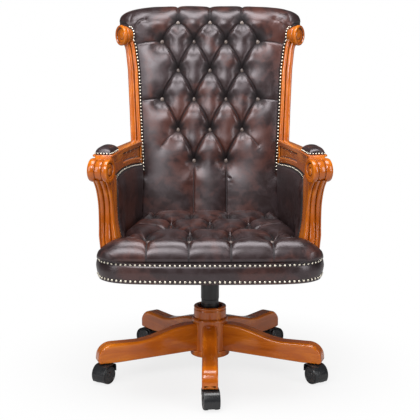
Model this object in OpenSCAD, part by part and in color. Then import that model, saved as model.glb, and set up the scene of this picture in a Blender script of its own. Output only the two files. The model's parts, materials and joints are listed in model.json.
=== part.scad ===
// Executive office chair with a tufted back and seat, carved arms and a five-legged swivel base.
// Millimetres, +Z up. The origin is on the floor, on the axis of the gas lift, and the sitter faces -Y.

/* [Casters] */
// Diameter of each caster wheel
wheel_d = 58; // [50:1:64]
// Width of one caster wheel
wheel_w = 17.5; // [16:0.5:26]
// Thickness of the housing web between the two wheels
web_t = 13; // [13:1:20]
// Distance from the caster stem to the wheel axle
caster_trail = 22; // [19:1:26]
// Wall thickness of the caster hood
hood_t = 2.5; // [1.5:0.5:4]
// Diameter of the wheel axle
axle_d = 8; // [6:0.5:10]
// Diameter of the caster stem
stem_d = 11; // [9:0.5:11.5]
// Length of the stem inside the leg
stem_l = 32; // [20:1:45]
// Turn of the front caster away from its leg, in degrees
front_caster_turn = 8; // [0:1:30]
// Turn of the two side casters away from their legs, in degrees
side_caster_turn = 40; // [0:1:45]
// Turn of the two rear casters away from their legs, in degrees
rear_caster_turn = 14; // [0:1:30]

/* [Base] */
// Distance from the lift axis to each caster stem
stem_r = 336; // [300:1:360]
// Length of each leg past its caster stem
leg_nose = 35; // [30:1:45]
// Width of each leg
leg_w = 48; // [40:1:60]
// Thickness of each leg over its outer half
leg_t = 61; // [54:1:72]
// Thickness of each leg at the hub
leg_root_t = 101; // [88:1:106]
// Rise of the leg's underside from the caster to the hub
leg_rise = 15; // [8:1:20]
// Diameter of the turned hub
hub_d = 113; // [105:1:125]
// Height of the hub above the underside of the legs
hub_h = 116; // [112:1:125]
// Diameter of the turned collar on the hub
collar_d = 103; // [98:1:104]
// Height of the turned collar
collar_h = 40; // [34:1:50]
// Diameter of the dowels that join the legs to the hub
dowel_d = 10; // [8:1:12]

/* [Gas lift] */
// Outer diameter of the steel column tube
tube_d = 50; // [46:1:52]
// Wall thickness of the column tube
tube_wall = 2; // [1.5:0.5:3]
// Diameter of the gas cylinder
gas_d = 28; // [26:1:30]
// Diameter of the piston rod
rod_d = 10; // [8:0.5:12]
// Outer diameter of the plastic cover sleeve
cover_d = 57.6; // [56:0.2:62]
// Height adjustment of the seat
lift_travel = 90; // [60:1:92]

/* [Tilt mechanism] */
// Width of the pressed steel housing
housing_w = 120; // [110:1:130]
// Length of the pressed steel housing
housing_l = 170; // [160:1:190]
// Wall thickness of the housing
housing_wall = 4; // [3:0.5:5]
// Diameter of the pivot pin
pin_d = 12; // [10:1:14]
// Distance of the pivot pin in front of the lift axis
pin_forward = 75; // [70:1:80]
// Tilt of the seat at its rear stop, in degrees
tilt_max = 12; // [8:1:12]
// Wire diameter of the tilt spring
spring_wire = 5; // [4:0.5:6]
// Number of turns of the tilt spring
spring_turns = 5; // [3:1:8]
// Diameter of the tension knob
knob_d = 30; // [26:1:30]
// Reach of the height lever from the lift axis
lever_reach = 230; // [180:1:260]

/* [Seat] */
// Height of the seat frame's underside above the floor
seat_z = 371; // [360:1:400]
// Height of the leather-covered seat band
band_h = 70; // [60:1:90]
// Greatest width of the seat band
seat_w = 668; // [640:1:700]
// Width of the seat band at the back
seat_rear_w = 536; // [536:1:560]
// Distance of the band's front edge from the lift axis
seat_front = 336; // [325:1:350]
// Distance of the band's rear edge from the lift axis
seat_rear = 254; // [250:1:270]
// Thickness of the padded leather band
band_t = 8; // [5:1:12]
// Thickness of the plywood seat deck
deck_t = 20; // [15:1:28]
// Width of the frame rails behind the band
rail_t = 24; // [18:1:30]
// Height of the seat cushion above its frame
cushion_h = 62; // [45:1:75]
// Distance between two tuft buttons in a row of the seat
seat_pitch = 121; // [110:1:124]

/* [Back] */
// Height of the back above the seat frame
back_h = 709; // [650:1:760]
// Half width of the back cushion at the seat
back_half = 218.5; // [212:0.5:222]
// Widening of the back cushion from the seat to the roll, on each side
back_flare = 49.5; // [40:0.5:52]
// Lean of the back from upright, in degrees
back_lean = 11.3; // [8:0.1:13]
// Distance of the back cushion's front behind the lift axis, at the seat frame
back_y = 138; // [134:1:142]
// Radius of the leather roll along the top
roll_r = 60; // [50:1:64]
// Half length of the leather roll
roll_half = 300; // [290:1:305]
// Thickness of the back cushion
back_pad = 64; // [58:1:70]
// Thickness of the upholstered back board
board_t = 48; // [40:1:56]
// Distance between two tuft buttons in a row of the back
back_pitch = 105; // [98:1:108]
// Depth of the back tufts
back_tuft = 16; // [8:1:20]
// Diameter of the tuft buttons
button_d = 12; // [9:1:14]

/* [Wooden uprights] */
// Width of each upright beside the back cushion
stile_w = 33; // [30:1:42]
// How far the uprights stand in front of the back cushion's edge
stile_proud = 6; // [2:1:10]
// Diameter of the scroll at the top of each upright
scroll_d = 66; // [60:1:69]
// Length of that scroll along its own axis
scroll_l = 40; // [34:1:40]

/* [Arms] */
// Distance of the arm's centre plane from the chair's centre, at its rear end
arm_x = 242; // [238:1:244]
// Turn of each arm outwards, in degrees
arm_splay = 9.8; // [8:0.1:10.5]
// Length from the arm's rear end to the centre of its volute
arm_l = 457; // [445:1:465]
// Height of the arm's rail top above the seat frame
arm_h = 294; // [260:1:310]
// Diameter of the rolled volute at the front of the arm
volute_d = 70; // [60:1:76]
// Width of the volute
volute_w = 62; // [56:1:70]
// Thickness of the rail under the arm pad
arm_rail_t = 34; // [28:1:40]
// Width of the leather arm pad
pad_w = 52; // [46:1:60]
// Length of the leather arm pad
pad_l = 96; // [80:1:130]
// Height of the arm pad
pad_h = 22; // [18:1:30]
// Distance of the leather panel's inner face from the arm's centre plane
panel_in = 28; // [22:1:30]
// Distance of the leather panel's outer face from the arm's centre plane
panel_out = 20; // [16:1:24]

/* [Nail trim] */
// Height of the strip that carries a row of nail heads
nail_strip = 8; // [6:1:10]
// Thickness of that strip
nail_strip_t = 1.2; // [0.8:0.1:2]

/* [Fits] */
// Radial clearance of a shaft that turns or slides in a bore
run_clear = 0.05; // [0.02:0.01:0.1]
// Gap between soft pieces and their neighbours
soft_gap = 0.4; // [0.3:0.1:1]
// Gap between flat faces that turn over each other
turn_gap = 0.3; // [0.2:0.1:0.5]
// Gap between a caster wheel and its housing
wheel_gap = 0.8; // [0.5:0.1:1.5]

/* [Hidden] */
$fn = 96;

wood = "peru";
leather = "#3a2623";
black = "#26272b";
steel = "silver";
bronze = "#b8a888";

// A hair past a surface, so that a cut goes clean through it
past = 1;

// Casters
leg_count = 5;
leg_step = 360 / leg_count;
front_turn = -90;
wheel_r = wheel_d / 2;
hood_in_r = wheel_r + wheel_gap;
hood_out_r = hood_in_r + hood_t;
caster_top = wheel_r + hood_out_r;
caster_half_w = web_t / 2 + wheel_gap + wheel_w;
hood_back = caster_trail - hood_out_r;
hood_floor_gap = 10;
hood_back_z = 36;
web_drop = 12;
web_inset = 0.5;
wheel_recess = 2.5;
wheel_boss_r = 10;
wheel_rim = 6;
wheel_slope = 1;
boss_inset = 0.5;
tread_bevel = 2;
stem_low = 8;
stem_bottom = wheel_r + stem_low;
socket_wall = 2;
socket_flange_d = 24;
socket_flange_t = 2.3;
socket_cap = 4;
stem_end_gap = 0.5;

// Base
leg_z = caster_top + turn_gap + socket_flange_t;
leg_end = stem_r + leg_nose;
hub_r = hub_d / 2;
hub_foot = 6;
hub_sag = 4;
hub_bottom = leg_z - hub_sag;
hub_bevel = 4;
hub_foot_bevel = 3;
hub_top = leg_z + hub_h;
leg_root_z = leg_z + leg_rise;
sleeve_wall = 3;
sleeve_r = tube_d / 2 + sleeve_wall;
sleeve_lift = 2;
collar_r = collar_d / 2;
collar_top = hub_top + collar_h;
recess_room = 9.7;
recess_r = cover_d / 2 + recess_room;
recess_floor = 8;
recess_z = hub_top + recess_floor;
recess_lip = 2;
// The collar's turned profile: distance inside its radius, and height above the hub
collar_profile_h = 40;
collar_profile = [[0, 6], [5, 11], [6, 15], [2, 21], [0.8, 28], [3, 35], [7, 39]];
dowel_l = 44;
dowel_in_hub = 20;
dowel_low = 22;
dowel_high = 62;
// The leg's lines in shares of its length: its top's ogee, its underside's rise, its bite into the hub
ogee_start = 0.03;
ogee_run = 0.59;
rise_share = 0.8;
root_bite = 0.08;
leg_tip_r = 46;
leg_heel_r = 9;
leg_edge_r = 7;
leg_steps = 16;

// Gas lift
tube_lift = 4;
tube_bottom = hub_bottom + tube_lift;
tube_plate = 4;
tube_in_r = tube_d / 2 - tube_wall;
housing_drop = 50;
housing_z = seat_z - housing_drop;
tube_room = 22;
tube_top = housing_z - tube_room;
bushing_flange = 4;
bushing_l = 80;
rod_r = rod_d / 2;
rod_room = 6;
rod_top = housing_z - rod_room;
rod_head_lip = 3;
rod_head_r = rod_r + rod_head_lip;
rod_head_t = 2.2;
bearing_r = 13;
bearing_h = 8;
gas_bottom = tube_bottom + tube_plate + turn_gap + bearing_h + rod_room;
gas_bite = 12;
gas_top = housing_z + gas_bite;
button_r = 4;
button_stand = 6;
release_travel = 3.5;
button_hole = 7;
button_hidden = button_hole - release_travel - turn_gap;
cover_wall = 2.6;
cover_sunk = 24;
cover_bottom = collar_top - cover_sunk;

// Tilt mechanism
plate_t = 4;
plate_z = seat_z - plate_t;
pin_drop = 28;
pin_z = seat_z - pin_drop;
pin_lead = 25;
housing_front = -pin_forward - pin_lead;
housing_rear = housing_front + housing_l;
housing_room = 10;
housing_high = seat_z - housing_room;
housing_tail = 12;
housing_low = housing_z + housing_tail;
knee_back = 20;
housing_knee = -pin_forward + knee_back;
housing_bevel = 8;
boss_wall = 8;
gas_boss_r = gas_d / 2 + boss_wall;
ear_t = 5;
ear_gap = 0.6;
ear_half = 18;
ear_drop = 34;
pin_end = 3;
pin_half = housing_w / 2 + ear_gap + ear_t + pin_end;
ear_slope = 8;
plate_half_w = 110;
plate_lead = 45;
plate_front = -pin_forward - plate_lead;
plate_rear = 150;
bolt_x = 95;
bolt_inset = 20;
bolt_ys = [plate_front + bolt_inset, plate_rear - bolt_inset];
bolt_d = 8;
bolt_head_r = 7;
bolt_head_h = 5;
bolt_bite = 16;
spring_play = 0.5;
spring_r = pin_d / 2 + spring_play + spring_wire / 2;
spring_space = 2;
spring_pitch = spring_wire + spring_space;
spring_sides = 6;
spring_steps = 16;
knob_y = -30;
knob_drop = 4;
knob_z = pin_z - knob_drop;
knob_out = 12;
knob_tip = 3;
knob_rim = 4;
flute_r = 2.2;
flute_out = 1;
knob_l = 30;
knob_shaft_r = 5;
lever_gap = 0.4;
lever_t = 6;
lever_w = 10;
lever_pivot_x = 50;
lever_z = gas_top + button_stand + lever_gap + lever_t / 2;
lever_drop = 14;
lever_straight = 70;
lever_bend_x = lever_pivot_x + lever_straight;
lever_tail = 8;
lever_bend = 12;
grip_profile = [[2, 0], [0, 3], [1, 64], [4, 70]];
grip_r = 8;
grip_l = 70;
trunnion_r = 3;
trunnion_half = 12;
lug_t = 5;
lug_half = 6;
lug_gap = 0.8;
lug_rise = 5;
slot_gap = 1;
slot_room = 3;

// Seat
seat_top = seat_z + band_h;
seat_half = seat_w / 2;
seat_rear_half = seat_rear_w / 2;
seat_len = seat_front + seat_rear;
overhang = 8;
cushion_front = -(seat_front + overhang);
cushion_rear = back_y - 2;
cushion_half = seat_half - 1;
cushion_corner = 60;
// The band's outline: width shares with distances behind its front, side shares, and its rear corner
plan_front = [[0.45, 3], [0.7, 10], [0.85, 26], [0.95, 56], [0.99, 92], [1, 135]];
plan_side = [[0.6, 0.42], [0.25, 0.75]];
plan_corner = [[0, 34], [10, 9], [34, 0]];
cushion_bow = 10;
arm_y = back_y + 32;
arm_tail = 22;
post_half = 30;
post_back = arm_l - 85;
rail_low = arm_h - 85;
post_foot_share = 1.667;
post_foot_half = post_foot_share * post_half;
post_foot_back = 0.058;
step_gap = 6;
neck_gap = 1.9;
neck_lead = 18;
cushion_step_y = arm_y - (arm_l - post_foot_back * arm_h) * cos(arm_splay)
    - post_foot_half * sin(arm_splay) - step_gap;
neck_half = arm_x + post_back * sin(arm_splay) - post_foot_half * cos(arm_splay) - neck_gap;
neck_y = arm_y - post_back * cos(arm_splay) - post_foot_half * sin(arm_splay) + neck_lead;
neck_rear_half = arm_x + (arm_y - cushion_rear - panel_in * sin(arm_splay)) * tan(arm_splay)
    - panel_in * cos(arm_splay) - neck_gap;
// Layers of the rolled cushion: height share, and how far its sides and its front are drawn in
neck_layers = [[0, 0, 0], [0.3, 1, 2], [0.5, 3, 6], [0.68, 7, 13], [0.82, 14, 23], [0.94, 22, 35], [1, 42, 56]];
wide_layers = [[0, 0, 0], [0.22, 4, 1], [0.4, 14, 4], [0.55, 32, 9], [0.68, 58, 15], [0.8, 92, 26]];
layer_t = 0.01;
corner_turn = 15;
seat_rows_y = [-265, -116, 40];

// Back
lean = tan(back_lean);
roll_s = back_h - roll_r;
roll_z = seat_top + roll_s;
roll_y = back_y + lean * roll_s + roll_r;
roll_end_power = 3;
back_columns = 9;
back_edge_shares = [0.34, 0.64, 0.86, 1];
back_rows_s = [209, 309, 408, 500.5, 593, 659];
back_row_reach = [0.5, 1, 1.5, 1, 1.5, 1];
flare_steps = [[0, 0], [0.322, 0.06], [0.43, 0.13], [0.576, 0.22],
               [0.777, 0.34], [0.892, 0.54], [0.949, 0.75], [1, 1]];

// Arms: post widths and lines are in shares of their own lengths, [along, up]
post_step = 14;
ledge_t = 4;
ledge_nose = 5;
pad_front = 40;
recess_t = 3;
recess_rim = 16;
recess_rear = 8;
recess_share = 0.65;
rail_fall = 13;
rail_level = 0.75;
volute_in = 5;
pad_round = 0.75;
pad_swell = 0.06;
pad_power = 0.55;
neck_share = 0.796;
rail_edge = [[1, 0.541], [0.992, 0.636], [0.962, 0.711], [0.887, 0.769], [0.624, 0.786], [0.328, 0.762],
             [0.059, 0.721]];
post_front = [[0.082, 0.789], [-0.027, 0.687], [-0.102, 0.524], [-0.112, 0.354], [-0.085, 0.167],
              [-post_foot_back, 0]];
post_inner = [[post_foot_share, 0], [1.4, 0.15], [1.133, 0.3], [1.033, 0.442], [1, neck_share]];
post_top_outer = 0.55;
post_outer = [[0.2, 0], [0.48, 0.2], [0.52, 0.442], [post_top_outer, neck_share]];
// Turn of the volute's axis beyond the arm's own, in degrees
volute_turn = 10;
// The volute's turned outline over half its width: share of the half, and depth below its radius
volute_bands = [[0, 1], [0.28, 1], [0.46, 4], [0.56, 0]];
volute_edge = 4;
volute_dish = [0.55, 0.6];
volute_sink = 2;

// A smooth curve through points, with n steps between two of them
function bend(a, b, c, d, t) =
    0.5 * ((2 * b) + (c - a) * t + (2 * a - 5 * b + 4 * c - d) * t * t
    + (3 * b - a - 3 * c + d) * t * t * t);
function smooth(p, n) = concat(
    [for (i = [0 : len(p) - 2]) for (k = [0 : n - 1])
        bend(p[max(i - 1, 0)], p[i], p[i + 1], p[min(i + 2, len(p) - 1)], k / n)],
    [p[len(p) - 1]]);
function mirrored(p) = [for (i = [len(p) - 1 : -1 : 0]) [-p[i][0], p[i][1]]];
// Height share of a rounded edge: 0 on the edge, 1 from r inwards
function brow(d, r) = let (k = 1 - min(max(d, 0), r) / r) sqrt(max(0, 1 - k * k));
function clamp01(x) = min(max(x, 0), 1);

// A flat outline in Y and Z, given its thickness along X
module side_plate(points, width) {
    rotate([90, 0, 90]) linear_extrude(height = width, center = true) polygon(points);
}
// A flat outline in X and Z, given its thickness along Y
module front_plate(points, depth) {
    rotate([90, 0, 0]) linear_extrude(height = depth, center = true) polygon(points);
}
module mirror_x() {
    mirror([1, 0, 0]) children();
}

// Casters, each modelled with its stem on the Z axis and its axle at +X
function leg_angle(i) = front_turn + i * leg_step;
caster_turns = [front_caster_turn, -side_caster_turn, -rear_caster_turn, rear_caster_turn, side_caster_turn];
module at_caster(i) {
    rotate([0, 0, leg_angle(i)]) translate([stem_r, 0, 0]) rotate([0, 0, caster_turns[i]]) children();
}
module hood_outline() {
    difference() {
        union() {
            translate([caster_trail, wheel_r]) circle(r = hood_out_r);
            translate([hood_back, wheel_r]) square([hood_out_r, hood_out_r]);
        }
        translate([hood_back - past, -hood_out_r])
            square([2 * hood_out_r + 2 * past, hood_floor_gap + hood_out_r]);
        translate([hood_back - past, -hood_out_r])
            square([hood_out_r + past, hood_back_z + hood_out_r]);
    }
}
module web_outline() {
    intersection() {
        union() {
            translate([caster_trail, wheel_r]) circle(r = hood_out_r - web_inset);
            translate([hood_back, wheel_r]) square([hood_out_r, hood_out_r]);
        }
        translate([hood_back, wheel_r - web_drop]) square([2 * hood_out_r, hood_out_r + web_drop]);
    }
}
module caster_housing() {
    color(black) difference() {
        union() {
            rotate([90, 0, 0]) linear_extrude(height = 2 * caster_half_w, center = true)
                difference() {
                    hood_outline();
                    translate([caster_trail, wheel_r]) circle(r = hood_in_r);
                }
            rotate([90, 0, 0]) linear_extrude(height = web_t, center = true) web_outline();
        }
        translate([0, 0, stem_bottom]) cylinder(d = stem_d, h = caster_top);
        translate([caster_trail, 0, wheel_r]) rotate([90, 0, 0])
            cylinder(d = axle_d, h = web_t + 2 * past, center = true);
    }
}
module caster_pins() {
    color(steel) {
        translate([0, 0, stem_bottom]) cylinder(d = stem_d, h = leg_z + stem_l - stem_bottom);
        translate([caster_trail, 0, wheel_r]) rotate([90, 0, 0])
            cylinder(d = axle_d, h = 2 * (caster_half_w - wheel_recess), center = true);
    }
}
// The wheel's inner face lies on the housing's web, side is 1 or -1 along the axle
module caster_wheel(side) {
    color(black) translate([caster_trail, side * (web_t / 2 + wheel_gap), wheel_r])
        rotate([-90 * side, 0, 0]) rotate_extrude() polygon([
            [axle_d / 2 + run_clear, 0],
            [wheel_r - tread_bevel, 0],
            [wheel_r, tread_bevel],
            [wheel_r, wheel_w - tread_bevel],
            [wheel_r - tread_bevel, wheel_w],
            [wheel_r - wheel_rim, wheel_w],
            [wheel_r - wheel_rim - wheel_slope, wheel_w - wheel_recess],
            [wheel_boss_r + wheel_slope, wheel_w - wheel_recess],
            [wheel_boss_r, wheel_w - boss_inset],
            [axle_d / 2 + run_clear, wheel_w - boss_inset]
        ]);
}

// Base
module base_hub() {
    color(wood) difference() {
        rotate_extrude() polygon(concat(
            [[sleeve_r, hub_bottom], [hub_r + hub_foot - hub_foot_bevel, hub_bottom]],
            [[hub_r + hub_foot, hub_bottom + hub_bevel], [hub_r + hub_foot, leg_root_z - hub_bevel]],
            [[hub_r + hub_foot - hub_foot_bevel, leg_root_z], [hub_r, leg_root_z]],
            [[hub_r, hub_top - hub_bevel], [hub_r - hub_bevel, hub_top], [sleeve_r, hub_top]]
        ));
        dowel_places() translate([-past, 0, 0]) rotate([0, 90, 0])
            cylinder(d = dowel_d, h = dowel_l + past);
    }
}
module dowel_places() {
    for (i = [0 : leg_count - 1]) rotate([0, 0, leg_angle(i)])
        for (z = [dowel_low, dowel_high])
            translate([hub_r - dowel_in_hub, 0, leg_root_z + z]) children();
}
module leg_dowels() {
    color(wood) dowel_places() rotate([0, 90, 0]) cylinder(d = dowel_d, h = dowel_l);
}
module hub_collar() {
    bead = smooth(concat([for (p = collar_profile) [collar_r - p[0], p[1] * collar_h / collar_profile_h]],
                         [[recess_r + recess_lip, collar_h]]), 3);
    color(wood) translate([0, 0, hub_top]) rotate_extrude() polygon(concat(
        [[tube_d / 2, 0], [collar_r, 0]],
        bead,
        [[recess_r, collar_h - recess_lip], [recess_r, recess_floor], [tube_d / 2, recess_floor]]
    ));
}
module hub_sleeve() {
    color(steel) translate([0, 0, hub_bottom + sleeve_lift]) difference() {
        cylinder(r = sleeve_r, h = hub_top - hub_bottom - sleeve_lift);
        translate([0, 0, -past]) cylinder(d = tube_d, h = hub_top);
    }
}
// The leg's top line: thick at the hub, then an ogee down to its even outer half
function leg_top(share) = let (k = clamp01((share - ogee_start) / ogee_run))
    leg_z + leg_t + (leg_root_t - leg_t) * (0.5 + 0.5 * cos(180 * k));
function leg_under(share) = leg_z + leg_rise * clamp01(1 - share / rise_share);
module base_leg() {
    span = leg_end - hub_r;
    n = leg_tip_r;
    e = leg_edge_r;
    h = leg_heel_r;
    tip_share = 1 - n / span;
    points = concat(
        [for (k = [0 : leg_steps]) let (f = -root_bite + (tip_share + root_bite) * k / leg_steps)
            [hub_r + span * f, leg_top(max(f, 0))]],
        [for (a = [80 : -10 : 0]) [leg_end - n + n * cos(a), leg_z + leg_t - n + n * sin(a)]],
        [for (a = [0 : 15 : 90]) [leg_end - h + h * cos(a), leg_z + h - h * sin(a)]],
        [for (f = [rise_share : -rise_share / 4 : -root_bite]) [hub_r + span * f, leg_under(f)]],
        [[hub_r - span * root_bite, leg_under(0)]]
    );
    color(wood) difference() {
        intersection() {
            rotate([90, 0, 0]) linear_extrude(height = leg_w, center = true) polygon(points);
            translate([0, 0, leg_z - past]) linear_extrude(height = leg_root_t + 2 * past) polygon(concat(
                [[0, leg_w / 2], [0, -leg_w / 2]],
                [for (a = [-90 : 15 : 0]) [leg_end - e + e * cos(a), e - leg_w / 2 + e * sin(a)]],
                [for (a = [0 : 15 : 90]) [leg_end - e + e * cos(a), leg_w / 2 - e + e * sin(a)]]
            ));
        }
        translate([0, 0, leg_root_z]) cylinder(r = hub_r, h = leg_root_t + past);
        translate([0, 0, leg_z - past]) cylinder(r = hub_r + hub_foot, h = leg_rise + past);
        for (z = [dowel_low, dowel_high]) translate([0, 0, leg_root_z + z]) rotate([0, 90, 0])
            cylinder(d = dowel_d, h = hub_r - dowel_in_hub + dowel_l);
        translate([stem_r, 0, leg_z - past])
            cylinder(d = stem_d + 2 * socket_wall, h = stem_l + socket_cap + past);
    }
}
module caster_sockets() {
    color(steel) for (i = [0 : leg_count - 1]) rotate([0, 0, leg_angle(i)])
        translate([stem_r, 0, 0]) difference() {
            union() {
                translate([0, 0, leg_z]) cylinder(d = stem_d + 2 * socket_wall, h = stem_l + socket_cap);
                translate([0, 0, leg_z - socket_flange_t]) cylinder(d = socket_flange_d, h = socket_flange_t);
            }
            translate([0, 0, leg_z - socket_flange_t - past])
                cylinder(r = stem_d / 2 + run_clear, h = stem_l + socket_flange_t + past + stem_end_gap);
        }
}

// Gas lift
module column_tube() {
    color(black) translate([0, 0, tube_bottom]) difference() {
        cylinder(d = tube_d, h = tube_top - tube_bottom);
        translate([0, 0, tube_plate]) cylinder(r = tube_in_r, h = tube_top);
        translate([0, 0, -past]) cylinder(r = rod_r + run_clear, h = tube_plate + 2 * past);
    }
}
module column_bushing() {
    color("dimgray") difference() {
        union() {
            translate([0, 0, tube_top - bushing_l]) cylinder(r = tube_in_r, h = bushing_l);
            translate([0, 0, tube_top]) cylinder(d = tube_d, h = bushing_flange);
        }
        translate([0, 0, tube_top - bushing_l - past])
            cylinder(r = gas_d / 2 + run_clear, h = bushing_l + bushing_flange + 2 * past);
    }
}
module piston_rod() {
    color(steel) {
        translate([0, 0, tube_bottom - turn_gap]) cylinder(r = rod_r, h = rod_top - tube_bottom + turn_gap);
        translate([0, 0, tube_bottom - turn_gap - rod_head_t]) cylinder(r = rod_head_r, h = rod_head_t);
        translate([0, 0, tube_bottom + tube_plate + turn_gap]) cylinder(r = bearing_r, h = bearing_h);
    }
}
module gas_cylinder() {
    color(black) difference() {
        translate([0, 0, gas_bottom]) cylinder(d = gas_d, h = gas_top - gas_bottom);
        translate([0, 0, gas_bottom - past])
            cylinder(r = rod_r + run_clear, h = rod_top - gas_bottom + past + 1);
        translate([0, 0, gas_top - button_hole]) cylinder(r = button_r + run_clear, h = button_hole + past);
    }
}
module release_button() {
    color(steel) translate([0, 0, gas_top - button_hidden])
        cylinder(r = button_r, h = button_hidden + button_stand);
}
module column_cover() {
    color(black) translate([0, 0, cover_bottom]) difference() {
        cylinder(d = cover_d, h = housing_z - cover_bottom);
        translate([0, 0, -past]) cylinder(d = cover_d - 2 * cover_wall, h = housing_z);
    }
}

// Tilt mechanism
module tilt_housing() {
    outer = [[housing_front, housing_z], [housing_rear, housing_z], [housing_rear, housing_low],
             [housing_knee, housing_high], [housing_front + housing_bevel, housing_high],
             [housing_front, housing_high - housing_bevel]];
    w = housing_wall;
    color(black) difference() {
        union() {
            difference() {
                side_plate(outer, housing_w);
                translate([0, (housing_front + housing_rear) / 2, housing_z + w + housing_l / 2])
                    cube([housing_w - 2 * w, housing_l - 2 * w, housing_l], center = true);
            }
            translate([0, 0, housing_z]) cylinder(r = gas_boss_r, h = gas_top - housing_z);
            for (s = [-1, 1])
                translate([lever_pivot_x - lug_half, s * (lever_w + lug_t + 2 * lug_gap) / 2 - lug_t / 2,
                           housing_z + w / 2])
                    cube([2 * lug_half, lug_t, lever_z + lug_rise - housing_z - w / 2]);
        }
        translate([0, 0, housing_z - past]) cylinder(d = gas_d, h = housing_l);
        translate([0, -pin_forward, pin_z]) rotate([0, 90, 0])
            cylinder(d = pin_d, h = housing_w + 2 * past, center = true);
        translate([housing_w / 2 - w - past, knob_y, knob_z]) rotate([0, 90, 0])
            cylinder(r = knob_shaft_r + run_clear, h = w + 2 * past);
        translate([lever_pivot_x, 0, lever_z]) rotate([90, 0, 0])
            cylinder(r = trunnion_r + run_clear, h = 4 * trunnion_half, center = true);
        translate([housing_w / 2 - w - past, -lever_w / 2 - slot_gap, lever_z - lever_t - slot_room])
            cube([w + 2 * past, lever_w + 2 * slot_gap, housing_l]);
    }
}
module pivot_pin() {
    color(steel) translate([0, -pin_forward, pin_z]) rotate([0, 90, 0])
        cylinder(d = pin_d, h = 2 * pin_half, center = true);
}
// A torsion spring round the pin: a six-sided wire swept along a helix
module tilt_spring() {
    steps = spring_turns * spring_steps;
    length = spring_turns * spring_pitch;
    ring = [for (i = [0 : steps]) let (a = 360 * i / spring_steps, x = length * i / steps - length / 2)
        for (k = [0 : spring_sides - 1]) let (b = 360 * k / spring_sides,
            r = spring_r + spring_wire / 2 * cos(b))
            [x + spring_wire / 2 * sin(b), r * cos(a), r * sin(a)]];
    n = spring_sides;
    faces = concat(
        [[for (k = [0 : n - 1]) k]],
        [[for (k = [n - 1 : -1 : 0]) steps * n + k]],
        [for (i = [0 : steps - 1]) for (k = [0 : n - 1]) let (k2 = (k + 1) % n)
            [i * n + k, (i + 1) * n + k, (i + 1) * n + k2]],
        [for (i = [0 : steps - 1]) for (k = [0 : n - 1]) let (k2 = (k + 1) % n)
            [i * n + k, (i + 1) * n + k2, i * n + k2]]
    );
    color(steel) translate([0, -pin_forward, pin_z]) polyhedron(ring, faces);
}
module tension_knob() {
    start = housing_w / 2 + knob_out;
    inside = housing_wall + knob_tip;
    color(black) translate([0, knob_y, knob_z]) rotate([0, 90, 0]) {
        translate([0, 0, housing_w / 2 - inside])
            cylinder(r = knob_shaft_r, h = knob_out + inside);
        difference() {
            translate([0, 0, start]) cylinder(d = knob_d, h = knob_l);
            for (a = [0 : 30 : 330]) rotate([0, 0, a]) translate([knob_d / 2 + flute_out, 0, start + knob_rim])
                cylinder(r = flute_r, h = knob_l, $fn = 24);
        }
    }
}
module height_lever() {
    t = lever_t / 2;
    outline = [[-lever_tail, t], [-lever_tail, -t], [lever_pivot_x + lever_bend, -t],
               [lever_bend_x, -t - lever_drop], [lever_reach - grip_l / 2, -t - lever_drop],
               [lever_reach - grip_l / 2, t - lever_drop], [lever_bend_x + slot_gap, t - lever_drop],
               [lever_pivot_x + lever_bend + slot_gap, t]];
    color(black) translate([0, 0, lever_z]) {
        front_plate(outline, lever_w);
        translate([lever_pivot_x, 0, 0]) rotate([90, 0, 0])
            cylinder(r = trunnion_r, h = 2 * trunnion_half, center = true);
        translate([lever_reach - grip_l, 0, -lever_drop]) rotate([0, 90, 0]) rotate_extrude()
            polygon(concat([[0, 0]], [for (p = grip_profile) [grip_r - p[0], p[1]]], [[0, grip_l]]));
    }
}

// Seat
module seat_plate() {
    ear_x = housing_w / 2 + ear_gap + ear_t / 2;
    color(black) difference() {
        union() {
            translate([-plate_half_w, plate_front, plate_z])
                cube([2 * plate_half_w, plate_rear - plate_front, plate_t]);
            for (s = [-1, 1]) translate([s * ear_x, 0, 0]) side_plate([
                [-pin_forward - ear_half, plate_z + past],
                [-pin_forward - ear_half, plate_z - ear_drop + ear_slope],
                [-pin_forward - ear_slope, plate_z - ear_drop], [-pin_forward + ear_slope, plate_z - ear_drop],
                [-pin_forward + ear_half, plate_z - ear_drop + ear_slope],
                [-pin_forward + ear_half, plate_z + past]
            ], ear_t);
        }
        translate([0, -pin_forward, pin_z]) rotate([0, 90, 0])
            cylinder(r = pin_d / 2 + run_clear, h = 4 * pin_half, center = true);
        bolt_places() translate([0, 0, plate_z - past]) cylinder(d = bolt_d, h = plate_t + 2 * past);
    }
}
module bolt_places() {
    for (x = [-bolt_x, bolt_x]) for (y = bolt_ys) translate([x, y, 0]) children();
}
module seat_bolts() {
    color(steel) bolt_places() {
        translate([0, 0, plate_z - bolt_head_h]) cylinder(r = bolt_head_r, h = bolt_head_h, $fn = 6);
        translate([0, 0, plate_z]) cylinder(d = bolt_d, h = plate_t + bolt_bite);
    }
}
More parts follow.
